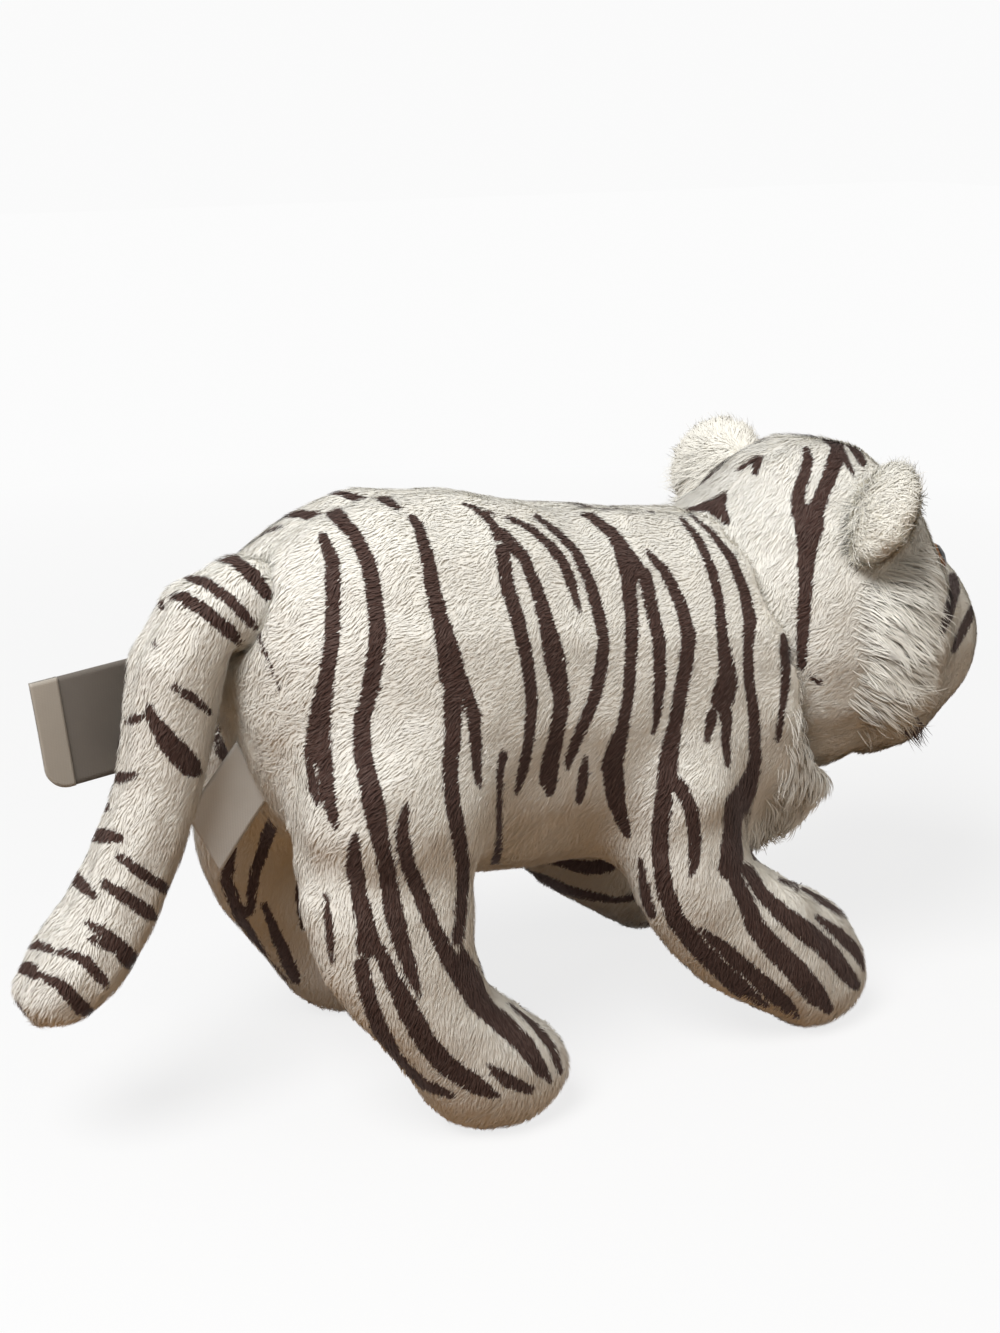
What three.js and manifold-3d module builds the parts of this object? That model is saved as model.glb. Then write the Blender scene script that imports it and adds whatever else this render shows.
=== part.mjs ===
// A white plush tiger that stands on four legs: cloth panels over stuffing, with its nose along +X.
// Each form swells and tapers from a table of shares, chosen by hand, of the sizes that it follows.
import * as THREE from 'three';
import { mergeVertices } from 'three/addons/utils/BufferGeometryUtils.js';
import Module from 'manifold-3d';

const wasm = await Module();
wasm.setup();

// Cloth and seams, in millimetres
const mm = 1;
const cloth = 2.4 * mm;
const seam = 0.3 * mm;
const creaseRoom = 3.6 * mm;
const soleCut = 0.5 * mm;
// How far a cutter runs past the piece that it cuts, and past the whole toy
const overrun = 60 * mm;
const beyond = 300 * mm;

// Torso, from the rump to the chest
const torso = {
  rear: -90 * mm,
  length: 168 * mm,
  height: 140 * mm,
  width: 76 * mm,
  gussetWidth: 34 * mm,
  gussetTop: 62 * mm,
  chestPanelWidth: 44 * mm,
  chestPanelDepth: 22 * mm,
};
// along the length, low and high on the height, half width on the width
const torsoShares = [
  [0, 0.73, 0.73, 0],
  [0.012, 0.61, 0.85, 0.2],
  [0.045, 0.51, 0.92, 0.35],
  [0.11, 0.42, 0.97, 0.44],
  [0.21, 0.36, 1, 0.49],
  [0.34, 0.335, 0.985, 0.49],
  [0.49, 0.315, 0.94, 0.465],
  [0.64, 0.3, 0.915, 0.475],
  [0.78, 0.265, 0.89, 0.475],
  [0.88, 0.265, 0.81, 0.42],
  [0.95, 0.305, 0.69, 0.3],
  [0.985, 0.37, 0.56, 0.16],
  [1, 0.46, 0.46, 0],
];

// Hind and front legs: where each hangs on the torso, and its own sizes
const hind = {
  name: 'hind',
  alongShare: 0.155,
  outShare: 0.31,
  riseShare: 0.55,
  thighRadius: 26 * mm,
  thighDepth: 20 * mm,
  width: 27 * mm,
  stance: 34 * mm,
  openShare: 0.3,
};
const front = {
  name: 'front',
  alongShare: 0.598,
  outShare: 0.316,
  riseShare: 0.48,
  thighRadius: 20 * mm,
  thighDepth: 18.5 * mm,
  width: 28 * mm,
  stance: 34 * mm,
  openShare: 0.3,
};
// rise on the hip's height, rear and front on the thigh's radius, half width on the leg's width, splay
hind.shares = [
  [0, 0.75, 0.75, 0, 1],
  [0.014, 0.4, 1.09, 0.23, 1],
  [0.065, 0.2, 1.38, 0.38, 1],
  [0.15, 0.0, 1.53, 0.48, 1],
  [0.245, -0.15, 1.4, 0.5, 0.98],
  [0.335, -0.33, 1.06, 0.48, 0.94],
  [0.44, -0.57, 0.72, 0.47, 0.85],
  [0.59, -0.8, 0.6, 0.49, 0.68],
  [0.77, -0.92, 0.7, 0.53, 0.4],
  [0.95, -0.8, 0.7, 0.5, 0.15],
  [1.12, -0.4, 0.36, 0.28, 0],
  [1.16, 0, 0, 0, 0],
];
front.shares = [
  [0, 2.15, 2.15, 0, 1],
  [0.016, 1.7, 2.54, 0.25, 1],
  [0.074, 1.2, 2.86, 0.4, 1],
  [0.17, 0.7, 3.01, 0.49, 1],
  [0.29, 0.17, 2.92, 0.5, 0.98],
  [0.42, -0.25, 2.64, 0.48, 0.93],
  [0.53, -0.52, 2.1, 0.46, 0.85],
  [0.63, -0.67, 1.32, 0.46, 0.75],
  [0.73, -0.74, 0.86, 0.47, 0.6],
  [0.86, -0.78, 0.78, 0.5, 0.35],
  [1, -0.7, 0.68, 0.46, 0.12],
  [1.12, -0.34, 0.34, 0.26, 0],
  [1.16, 0, 0, 0, 0],
];
// Where the white inner cloth of a leg meets the striped cloth, and how far it wraps under the paw
const innerCloth = {
  hipShare: 0.3,
  ankleShare: 0.3,
  wrapShare: 0.45,
};

// Head: a ball at the back that rolls in the torso's neck, drawn out to the muzzle
const head = {
  alongShare: 0.923,
  riseShare: 0.675,
  ballRadius: 40 * mm,
  reach: 58 * mm,
  height: 46 * mm,
  width: 76 * mm,
  stripWidth: 17 * mm,
  muzzleShare: 0.66,
  chinShare: -0.62,
  nodRoom: 10,
  throatRoom: 6 * mm,
};
// along the reach, low and high on the height, half width on the width, all from the ball's centre
const headShares = [
  [-0.41, 0.15, 0.15, 0],
  [-0.34, -0.35, 0.72, 0.27],
  [-0.175, -0.65, 0.93, 0.42],
  [0.03, -0.79, 1, 0.49],
  [0.245, -0.85, 0.96, 0.495],
  [0.43, -0.9, 0.76, 0.44],
  [0.585, -0.87, 0.51, 0.355],
  [0.71, -0.8, 0.36, 0.3],
  [0.84, -0.7, 0.22, 0.25],
  [0.94, -0.58, 0.07, 0.185],
  [0.985, -0.47, -0.08, 0.12],
  [1, -0.32, -0.32, 0],
];

// Neck: a wad of stuffing between the torso and the head's ball
const neck = {
  wadDepth: 6.5 * mm,
  wadAngle: 36,
  wadMargin: 5,
  lean: 23,
  steps: 4,
};

// Tail
const tail = {
  alongShare: 0.026,
  riseShare: 0.85,
  width: 21 * mm,
  reach: 46.5 * mm,
  drop: 78 * mm,
  rumpRoom: 3.2 * mm,
};
// back on the reach, down on the drop, half width on the width
const tailShares = [
  [0, 0, 0],
  [0.04, 0, 0.44],
  [0.2, 0.03, 0.49],
  [0.34, 0.16, 0.49],
  [0.45, 0.34, 0.48],
  [0.595, 0.56, 0.5],
  [0.765, 0.77, 0.535],
  [0.93, 0.94, 0.53],
  [1.03, 1.04, 0.38],
  [1.09, 1.1, 0],
];

// Ears, on the sides of the head
const ear = {
  baseAhead: 0.46,
  baseInward: 0.6,
  baseRise: 0.6,
  leanAngle: 48,
  aheadShare: 0.065,
  width: 26 * mm,
  height: 26 * mm,
  thickness: 10 * mm,
  seatShare: 0.2,
  beadRadius: 2 * mm,
  beadShare: 0.5,
  beadRoom: 0.5 * mm,
};

// Long fur on the cheeks
const ruff = {
  length: 28 * mm,
  height: 42 * mm,
  depth: 8 * mm,
  alongShare: 0.08,
  riseShare: 0.02,
};

// Eyes and nose, each with a stem through the cloth and a washer behind it
const stemRadius = 1.5 * mm;
const washerThickness = 1.4 * mm;
const stemTail = 1.2 * mm;
const stemDepth = cloth + washerThickness + stemTail;
const eye = {
  radius: 4.6 * mm,
  bulge: 3.2 * mm,
  washerRadius: 5 * mm,
  outAngle: 24,
  riseAngle: 19,
};
const nose = {
  radius: 6.4 * mm,
  bulge: 4.4 * mm,
  squash: 0.72,
  washerRadius: 5.4 * mm,
  outAngle: 0,
  riseAngle: -7,
};

// Satin labels, left bare
const satin = 0.7 * mm;
const hemLayers = 2;
const cornerSteps = 3;
const labelRoom = 0.3 * mm;
const careLabel = {
  height: 24.5 * mm,
  length: 29 * mm,
  hem: 6 * mm,
  corner: 2.5 * mm,
  lean: 6,
  droop: 5,
  downShare: 0.32,
  sideShare: 0.5,
};
const nameLabel = {
  seamLength: 16 * mm,
  length: 19 * mm,
  corner: 1.5 * mm,
  lean: 26,
  droop: 50,
  alongShare: 0.01,
  riseShare: 0.63,
};

// Ears fold by this much room between the blade and the head
const foldRoom = 1.4 * mm;

// How finely the forms are faceted
const torsoSides = 14;
const legSides = 10;
const headSides = 14;
const tailSides = 8;
const ballSides = 16;
const smallSides = 10;
const beadSides = 8;

const degrees = Math.PI / 180;
const full = 2 * Math.PI;
const X = new THREE.Vector3(1, 0, 0);
const Y = new THREE.Vector3(0, 1, 0);
const Z = new THREE.Vector3(0, 0, 1);

// Solids

function withoutFlatTriangles(index) {
  const kept = [];
  for (let i = 0; i < index.length; i += 3) {
    const [a, b, c] = [index[i], index[i + 1], index[i + 2]];
    if (a !== b && b !== c && c !== a) kept.push(a, b, c);
  }
  return kept;
}

function welded(geometry) {
  const bare = geometry.clone();
  bare.deleteAttribute('normal');
  bare.deleteAttribute('uv');
  const whole = mergeVertices(bare);
  whole.setIndex(withoutFlatTriangles(whole.index.array));
  return whole;
}

function solid(geometry) {
  const whole = welded(geometry);
  const triVerts = Uint32Array.from(whole.index.array);
  const vertProperties = Float32Array.from(whole.attributes.position.array);
  return new wasm.Manifold(new wasm.Mesh({ numProp: 3, vertProperties, triVerts }));
}

function geometryOf(shape) {
  const mesh = shape.getMesh();
  const geometry = new THREE.BufferGeometry();
  geometry.setAttribute('position', new THREE.BufferAttribute(mesh.vertProperties, 3));
  geometry.setIndex(new THREE.BufferAttribute(mesh.triVerts, 1));
  return geometry;
}

function minus(shape, ...cutters) {
  return cutters.reduce((left, cutter) => left.subtract(cutter), shape);
}

// Moves a geometry's points along their own normals: out for a positive distance, in for a negative one.
function swollen(geometry, distance) {
  const moved = welded(geometry);
  moved.computeVertexNormals();
  const place = moved.attributes.position;
  const normal = moved.attributes.normal;
  for (let i = 0; i < place.count; i += 1) {
    place.setXYZ(
      i,
      place.getX(i) + distance * normal.getX(i),
      place.getY(i) + distance * normal.getY(i),
      place.getZ(i) + distance * normal.getZ(i),
    );
  }
  return moved;
}

// Lofts

// A smooth value of each column of a table, at a share of the way through its rows.
function between(rows, share) {
  const last = rows.length - 1;
  const step = Math.min(Math.floor(share * last), last - 1);
  const u = share * last - step;
  const row = (k) => rows[Math.min(Math.max(k, 0), last)];
  const [a, b, c, d] = [row(step - 1), row(step), row(step + 1), row(step + 2)];
  return b.map((value, i) => {
    const slopeIn = (c[i] - a[i]) / 2;
    const slopeOut = (d[i] - value) / 2;
    const rise = c[i] - value;
    const cubic = slopeIn + slopeOut - 2 * rise;
    const square = 3 * rise - 2 * slopeIn - slopeOut;
    return ((cubic * u + square) * u + slopeIn) * u + value;
  });
}

// A closed form over rings of points that end in a tip at each end.
function overRings(rings, tips) {
  const sides = rings[0].length;
  const points = [tips[0], ...rings.flat(), tips[1]];
  const at = (ring, side) => 1 + ring * sides + (side % sides);
  const faces = [];
  for (let side = 0; side < sides; side += 1) {
    faces.push(0, at(0, side + 1), at(0, side));
    for (let ring = 0; ring + 1 < rings.length; ring += 1) {
      faces.push(at(ring, side), at(ring, side + 1), at(ring + 1, side + 1));
      faces.push(at(ring, side), at(ring + 1, side + 1), at(ring + 1, side));
    }
    faces.push(at(rings.length - 1, side), at(rings.length - 1, side + 1), points.length - 1);
  }
  const geometry = new THREE.BufferGeometry().setFromPoints(points);
  geometry.setIndex(faces);
  return facingOut(geometry);
}

function facingOut(geometry) {
  const place = geometry.attributes.position;
  const index = geometry.index.array;
  const [a, b, c] = [new THREE.Vector3(), new THREE.Vector3(), new THREE.Vector3()];
  let volume = 0;
  for (let i = 0; i < index.length; i += 3) {
    a.fromBufferAttribute(place, index[i]);
    b.fromBufferAttribute(place, index[i + 1]);
    c.fromBufferAttribute(place, index[i + 2]);
    volume += a.dot(b.cross(c));
  }
  if (volume < 0) geometry.setIndex(Array.from(index).reverse());
  return geometry;
}

// A form lofted through a table's rows; ringPoint places one point of a row at an angle.
function lofted(rows, sides, ringPoint) {
  const rings = rows.slice(1, -1).map((_, i) => {
    const row = between(rows, (i + 1) / (rows.length - 1));
    return Array.from({ length: sides }, (_unused, side) => ringPoint(row, (full * side) / sides));
  });
  return overRings(rings, [ringPoint(rows[0], 0), ringPoint(rows[rows.length - 1], 0)]);
}

function ball(radius, centre, sides = ballSides) {
  const geometry = new THREE.SphereGeometry(radius, sides, sides / 2);
  geometry.rotateX(Math.PI / 2);
  geometry.translate(centre.x, centre.y, centre.z);
  return geometry;
}

// How much wider than its ball a faceted socket is, so that the ball's corners turn free of its flats.
const flatsOf = (sides) => Math.cos(Math.PI / sides);

// A round cushion of revolution about the Y axis.
function lens(radius, depth, centre) {
  const geometry = new THREE.SphereGeometry(1, smallSides, smallSides / 2);
  geometry.scale(radius, depth, radius);
  geometry.translate(centre.x, centre.y, centre.z);
  return geometry;
}

function block(low, high) {
  const size = new THREE.Vector3().subVectors(high, low);
  const geometry = new THREE.BoxGeometry(size.x, size.y, size.z);
  geometry.translate((low.x + high.x) / 2, (low.y + high.y) / 2, (low.z + high.z) / 2);
  return solid(geometry);
}

const vec = (x, y, z) => new THREE.Vector3(x, y, z);

// Places that several pieces share

const torsoPoint = (along, out, rise) =>
  vec(torso.rear + along * torso.length, out * torso.width, rise * torso.height);
const hipOf = (leg, side) => torsoPoint(leg.alongShare, side * leg.outShare, leg.riseShare);
const headCentre = torsoPoint(head.alongShare, 0, head.riseShare);
const tailRoot = torsoPoint(tail.alongShare, 0, tail.riseShare);
const tailRootRadius = tail.width / 2;

// Pieces, each with its name, colour and solid
const pieces = [];

function addPiece(name, look, shape) {
  pieces.push({ name, look, shape });
}

const looks = {
  stripedCloth: { color: 0xd9d2c8, roughness: 0.95 },
  whiteCloth: { color: 0xe9e4da, roughness: 0.95 },
  longFur: { color: 0xf0ece4, roughness: 0.95 },
  stuffing: { color: 0xf6f6f4, roughness: 1 },
  bead: { color: 0x1a120e, roughness: 0.15 },
  noseStone: { color: 0xb98074, roughness: 0.35 },
  washer: { color: 0xdcdcdc, roughness: 0.5 },
  satin: { color: 0xe4e1da, roughness: 0.4 },
};

// Torso

const torsoForm = lofted(torsoShares, torsoSides, ([along, low, high, half], angle) =>
  torsoPoint(along, half * Math.cos(angle), (low + high) / 2 + ((high - low) / 2) * Math.sin(angle)));

const headForm = lofted(headShares, headSides, ([along, low, high, half], angle) =>
  vec(
    headCentre.x + along * head.reach,
    half * head.width * Math.cos(angle),
    headCentre.z + ((low + high) / 2 + ((high - low) / 2) * Math.sin(angle)) * head.height,
  ));

function legLens(leg, side, inset) {
  return lens(leg.thighRadius - inset, leg.thighDepth - inset, hipOf(leg, side));
}

// What the torso leaves free: the head's ball, the tail's root and the tops of the four legs.
function torsoSockets() {
  const neckSocket = ball((head.ballRadius + seam) / flatsOf(ballSides) ** 2, headCentre);
  const tailSocket = ball((tailRootRadius + seam) / flatsOf(smallSides), tailRoot, smallSides);
  const sockets = [neckSocket, tailSocket];
  for (const leg of [hind, front]) {
    const radius = (leg.thighRadius + seam) / flatsOf(smallSides);
    for (const side of [-1, 1]) sockets.push(lens(radius, leg.thighDepth + seam, hipOf(leg, side)));
  }
  return [...sockets, swollen(headForm, head.throatRoom)].map(solid);
}

const sockets = torsoSockets();
const torsoOuter = minus(solid(torsoForm), ...sockets);
const torsoSkin = torsoOuter.subtract(solid(swollen(torsoForm, -cloth)));

function gussetCutter(margin) {
  const half = torso.gussetWidth / 2 + margin;
  return block(
    vec(torso.rear - overrun, -half, -overrun),
    vec(torso.rear + torso.length - torso.chestPanelDepth, half, torso.gussetTop + margin),
  );
}

function chestCutter(margin) {
  const start = torso.rear + torso.length - torso.chestPanelDepth;
  const half = torso.chestPanelWidth / 2 + margin;
  return block(
    vec(start + seam - margin, -half, -overrun),
    vec(torso.rear + torso.length + overrun, half, torso.height),
  );
}

function sideHalf(side) {
  const near = side * (seam / 2);
  const far = side * (torso.width + overrun);
  return block(
    vec(torso.rear - overrun, Math.min(near, far), -overrun),
    vec(torso.rear + torso.length + head.reach + overrun, Math.max(near, far), torso.height + overrun),
  );
}

const sideName = (side) => (side < 0 ? 'right' : 'left');

function addTorso() {
  for (const side of [-1, 1]) {
    const panel = minus(torsoSkin.intersect(sideHalf(side)), gussetCutter(seam), chestCutter(seam));
    addPiece(`body_side_${sideName(side)}`, looks.stripedCloth, panel);
  }
  addPiece('belly_gusset', looks.whiteCloth, torsoSkin.intersect(gussetCutter(0)));
  addPiece('chest_fur', looks.longFur, torsoSkin.intersect(chestCutter(0)));
  const stuffing = minus(solid(swollen(torsoForm, -cloth - seam)), ...sockets);
  addPiece('body_filling', looks.stuffing, stuffing);
}

// Legs

function legForm(leg, side) {
  const hip = hipOf(leg, side);
  return lofted(leg.shares, legSides, ([rise, rear, ahead, half, splay], angle) => {
    const middle = ((rear + ahead) / 2) * leg.thighRadius;
    const reach = ((ahead - rear) / 2) * leg.thighRadius;
    const out = hip.y + side * splay * (leg.stance - Math.abs(hip.y));
    return vec(
      hip.x + middle + reach * Math.cos(angle),
      out + half * leg.width * Math.sin(angle),
      rise * hip.z - soleCut,
    );
  });
}

// The shank stays out of the torso by the room that its swing needs, and only the round thigh goes in.
function legSolid(leg, side, inset) {
  const shank = solid(swollen(legForm(leg, side), -inset));
  const clear = shank.subtract(solid(swollen(torsoForm, creaseRoom + inset)));
  const floor = block(vec(-beyond, -beyond, -overrun), vec(beyond, beyond, inset));
  return clear.add(solid(legLens(leg, side, inset))).subtract(floor);
}

// The inner half of a leg, whose white cloth also wraps under the paw.
function innerSide(leg, side, margin) {
  const hip = hipOf(leg, side);
  const split = hip.y + side * (leg.width * innerCloth.hipShare + margin);
  const edge = side * (leg.stance + leg.width * innerCloth.wrapShare + margin);
  const top = hip.z + overrun;
  const outline = new THREE.Shape([
    new THREE.Vector2(-side * overrun, top),
    new THREE.Vector2(split, top),
    new THREE.Vector2(side * (leg.stance + margin), hip.z * innerCloth.ankleShare),
    new THREE.Vector2(edge, margin),
    new THREE.Vector2(edge, -overrun),
    new THREE.Vector2(-side * overrun, -overrun),
  ]);
  const prism = new THREE.ExtrudeGeometry(outline, { depth: 2 * beyond, bevelEnabled: false });
  prism.rotateX(Math.PI / 2);
  prism.rotateZ(Math.PI / 2);
  prism.translate(-beyond, 0, 0);
  return solid(facingOut(welded(prism)));
}

// The hidden end of the thigh has no cloth: there the leg opens into the torso.
function thighOpening(leg, side) {
  const hip = hipOf(leg, side);
  const near = hip.y - side * overrun;
  const far = hip.y + side * leg.thighDepth * leg.openShare;
  return block(
    vec(hip.x - overrun, Math.min(near, far), hip.z - leg.thighRadius * leg.openShare),
    vec(hip.x + overrun, Math.max(near, far), hip.z + overrun),
  );
}

function addLeg(leg, side) {
  const name = `${leg.name}_leg_${sideName(side)}`;
  const skin = minus(legSolid(leg, side, 0), legSolid(leg, side, cloth), thighOpening(leg, side));
  addPiece(`${name}_outer`, looks.stripedCloth, skin.subtract(innerSide(leg, side, seam)));
  addPiece(`${name}_inner`, looks.whiteCloth, skin.intersect(innerSide(leg, side, 0)));
  addPiece(`${name}_filling`, looks.stuffing, legSolid(leg, side, cloth + seam));
}

// Head

function headSolid(inset) {
  return solid(swollen(headForm, -inset)).add(solid(ball(head.ballRadius - inset, headCentre)));
}

// A dish about the neck's line, between two radii and out to an angle from that line.
function neckDish(outer, inner, angle) {
  const { steps } = neck;
  const arc = (radius, turn) => new THREE.Vector2(radius * Math.sin(turn), -radius * Math.cos(turn));
  const profile = [];
  for (let i = 0; i <= steps; i += 1) profile.push(arc(outer, (angle * degrees * i) / steps));
  for (let i = steps; i >= 0; i -= 1) profile.push(arc(inner, (angle * degrees * i) / steps));
  profile[0].x = 0;
  profile[profile.length - 1].x = 0;
  const dish = new THREE.LatheGeometry(profile, ballSides);
  dish.rotateZ(-Math.PI / 2);
  dish.rotateY(-neck.lean * degrees);
  dish.translate(headCentre.x, headCentre.y, headCentre.z);
  return solid(facingOut(welded(dish)));
}

// The point of the head's cloth that a line from its centre reaches, and the way out of the cloth there.
function onHead(direction) {
  const skin = new THREE.Mesh(headForm, new THREE.MeshBasicMaterial({ side: THREE.DoubleSide }));
  const hit = new THREE.Raycaster(headCentre, direction).intersectObject(skin).pop();
  const normal = hit.face.normal.clone();
  if (normal.dot(direction) < 0) normal.negate();
  return { point: hit.point, normal };
}

function alongNormal(geometry, seat) {
  geometry.applyQuaternion(new THREE.Quaternion().setFromUnitVectors(Y, seat.normal));
  geometry.translate(seat.point.x, seat.point.y, seat.point.z);
  return geometry;
}

function rod(radius, from, to, seat) {
  const geometry = new THREE.CylinderGeometry(radius, radius, to - from, smallSides);
  geometry.translate(0, (from + to) / 2, 0);
  return solid(alongNormal(geometry, seat));
}

// A bead or nose: a dome on the cloth with a stem through it.
function domeOnStem(size, seat, squash) {
  const dome = new THREE.SphereGeometry(1, smallSides, smallSides / 2);
  dome.scale(size.radius, size.bulge, size.radius * squash);
  const stem = rod(stemRadius, -stemDepth, size.bulge / 2, seat);
  return solid(alongNormal(dome, seat)).subtract(headSolid(-seam)).add(stem);
}

function washerAt(size, seat) {
  const face = -cloth - seam;
  const bore = rod(stemRadius + seam, -stemDepth, stemDepth, seat);
  return rod(size.washerRadius, face - washerThickness, face, seat).subtract(bore);
}

const fittings = [
  { name: 'eye_right', size: eye, side: -1, squash: 1, look: looks.bead },
  { name: 'eye_left', size: eye, side: 1, squash: 1, look: looks.bead },
  { name: 'nose', size: nose, side: 1, squash: nose.squash, look: looks.noseStone },
];
for (const fitting of fittings) {
  const { outAngle, riseAngle } = fitting.size;
  const rise = X.clone().applyAxisAngle(Y, -riseAngle * degrees);
  fitting.seat = onHead(rise.applyAxisAngle(Z, fitting.side * outAngle * degrees));
}

function fittingHoles() {
  return fittings.map(({ seat }) => rod(stemRadius + seam, -stemDepth, stemDepth, seat));
}

// Room for each washer and the end of its stem, up to a height over the cloth's outside.
function fittingPockets(top) {
  return fittings.map(({ size, seat }) => rod(size.washerRadius + seam, -stemDepth - seam, top, seat));
}

function headStrip(margin) {
  const half = head.stripWidth / 2 + margin;
  return block(
    vec(headCentre.x - overrun, -half, headCentre.z),
    vec(headCentre.x + head.reach * head.muzzleShare + margin, half, headCentre.z + overrun),
  );
}

function muzzleBlock(margin) {
  return block(
    vec(headCentre.x + head.reach * head.muzzleShare + seam - margin, -overrun, -overrun),
    vec(headCentre.x + head.reach + overrun, overrun, headCentre.z + overrun),
  );
}

function chinBlock(margin) {
  const top = headCentre.z + head.chinShare * head.height + margin;
  return block(
    vec(headCentre.x - overrun, -overrun, -overrun),
    vec(headCentre.x + head.reach * head.muzzleShare, overrun, top),
  );
}

function addHead() {
  const wadInner = head.ballRadius - neck.wadDepth;
  const stepFlats = Math.cos((neck.wadAngle * degrees) / (2 * neck.steps));
  const recess = wadInner * flatsOf(ballSides) * stepFlats - seam;
  const opening = neckDish(head.ballRadius + overrun, recess, neck.wadAngle + head.nodRoom + neck.wadMargin);
  const skin = minus(headSolid(0), headSolid(cloth), opening, ...fittingHoles(), ...fittingPockets(-cloth));
  for (const side of [-1, 1]) {
    const panel = skin.intersect(sideHalf(side));
    const trimmed = minus(panel, headStrip(seam), muzzleBlock(seam), chinBlock(seam));
    addPiece(`head_side_${sideName(side)}`, looks.stripedCloth, trimmed);
  }
  addPiece('head_centre_strip', looks.stripedCloth, skin.intersect(headStrip(0)));
  addPiece('muzzle', looks.stripedCloth, skin.intersect(muzzleBlock(0)));
  addPiece('throat', looks.whiteCloth, skin.intersect(chinBlock(0)));
  addPiece('head_filling', looks.stuffing, minus(headSolid(cloth + seam), opening, ...fittingPockets(seam)));
  const wad = neckDish(head.ballRadius, wadInner, neck.wadAngle);
  addPiece('neck_filling', looks.stuffing, wad);
}

function addFittings() {
  for (const { name, size, squash, look, seat } of fittings) {
    addPiece(name, look, domeOnStem(size, seat, squash));
    addPiece(`${name}_washer`, looks.washer, washerAt(size, seat));
  }
}

// Ears: a base line along the head's side, a rise away from it, and the blade between them
function earFrame(side) {
  const base = vec(ear.baseAhead, -side * ear.baseInward, ear.baseRise).normalize();
  const lean = ear.leanAngle * degrees;
  const outward = vec(ear.aheadShare, side * Math.sin(lean), Math.cos(lean)).normalize();
  const rise = outward.clone().addScaledVector(base, -outward.dot(base)).normalize();
  const place = onHead(outward);
  const seat = place.point.addScaledVector(place.normal, ear.beadRadius + ear.beadRoom);
  return { base, rise, seat, flat: new THREE.Vector3().crossVectors(base, rise) };
}

// The rolled edge that an ear folds about, just clear of the head.
function earBead(frame) {
  const radius = ear.beadRadius;
  const bead = new THREE.CylinderGeometry(radius, radius, ear.width * ear.beadShare, beadSides);
  bead.applyMatrix4(new THREE.Matrix4().makeBasis(frame.flat, frame.base, frame.rise.clone().negate()));
  bead.translate(frame.seat.x, frame.seat.y, frame.seat.z);
  return solid(facingOut(welded(bead)));
}

function earBlade(frame) {
  const blade = new THREE.SphereGeometry(1, smallSides, smallSides / 2);
  blade.scale(ear.width / 2, ear.height / 2, ear.thickness / 2);
  blade.translate(0, ear.height * ear.seatShare, 0);
  blade.applyMatrix4(new THREE.Matrix4().makeBasis(frame.base, frame.rise, frame.flat));
  blade.translate(frame.seat.x, frame.seat.y, frame.seat.z);
  return solid(blade);
}

function earHalf(frame, face) {
  const half = new THREE.BoxGeometry(overrun, overrun, overrun);
  half.translate(0, 0, face * (overrun / 2 + seam / 2));
  half.applyMatrix4(new THREE.Matrix4().makeBasis(frame.base, frame.rise, frame.flat));
  half.translate(frame.seat.x, frame.seat.y, frame.seat.z);
  return solid(half);
}

function addEar(side) {
  const frame = earFrame(side);
  const bead = earBead(frame).subtract(headSolid(-ear.beadRoom));
  const blade = earBlade(frame).subtract(headSolid(-seam - foldRoom)).add(bead);
  const forward = frame.flat.x > 0 ? 1 : -1;
  addPiece(`ear_${sideName(side)}_front`, looks.longFur, blade.intersect(earHalf(frame, forward)));
  addPiece(`ear_${sideName(side)}_back`, looks.longFur, blade.intersect(earHalf(frame, -forward)));
}

function addRuff(side) {
  const tuft = new THREE.SphereGeometry(1, smallSides, smallSides / 2);
  tuft.scale(ruff.length / 2, ruff.depth, ruff.height / 2);
  tuft.translate(
    headCentre.x + ruff.alongShare * head.reach,
    side * (head.width / 2 - ruff.depth / 2),
    headCentre.z + ruff.riseShare * head.height,
  );
  addPiece(`cheek_ruff_${sideName(side)}`, looks.longFur, solid(tuft).subtract(headSolid(-seam)));
}

// Tail

const tailPlace = (back, down) => vec(tailRoot.x - back * tail.reach, 0, tailRoot.z - down * tail.drop);
const tailLine = new THREE.CatmullRomCurve3(tailShares.map(([back, down]) => tailPlace(back, down)));

const tailRings = tailShares.slice(1, -1).map(([back, down, half], i) => {
  const centre = tailPlace(back, down);
  const tangent = tailLine.getTangent((i + 1) / (tailShares.length - 1));
  const across = new THREE.Vector3().crossVectors(tangent, Y).normalize();
  const radius = half * tail.width;
  return Array.from({ length: tailSides }, (_unused, side) => {
    const angle = (full * (side + 0.5)) / tailSides;
    const point = centre.clone().addScaledVector(across, radius * Math.cos(angle));
    return point.addScaledVector(Y, radius * Math.sin(angle));
  });
});
const tailForm = overRings(tailRings, [tailLine.points[0], tailLine.points[tailShares.length - 1]]);

function tailSolid(inset) {
  const tube = solid(swollen(tailForm, -inset)).subtract(solid(swollen(torsoForm, tail.rumpRoom + inset)));
  return tube.add(solid(ball(tailRootRadius - inset, tailRoot, smallSides)));
}

function addTail() {
  const skin = tailSolid(0).subtract(tailSolid(cloth));
  for (const side of [-1, 1]) {
    addPiece(`tail_side_${sideName(side)}`, looks.stripedCloth, skin.intersect(sideHalf(side)));
  }
  addPiece('tail_filling', looks.stuffing, tailSolid(cloth + seam));
}

// Labels: satin sheets in the plane of the back seam, each sewn in along one edge

// The four corners of a label whose sewn edge starts at a seam point and leans from upright by an angle.
function labelCorners(start, seamLength, length, lean, droop) {
  const up = new THREE.Vector2(-Math.sin(lean * degrees), Math.cos(lean * degrees));
  const back = new THREE.Vector2(-Math.cos(droop * degrees), -Math.sin(droop * degrees));
  const bottom = start.clone().addScaledVector(up, -seamLength);
  const outer = [start, bottom].map((corner) => corner.clone().addScaledVector(back, length));
  return [start, ...outer, bottom];
}

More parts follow.
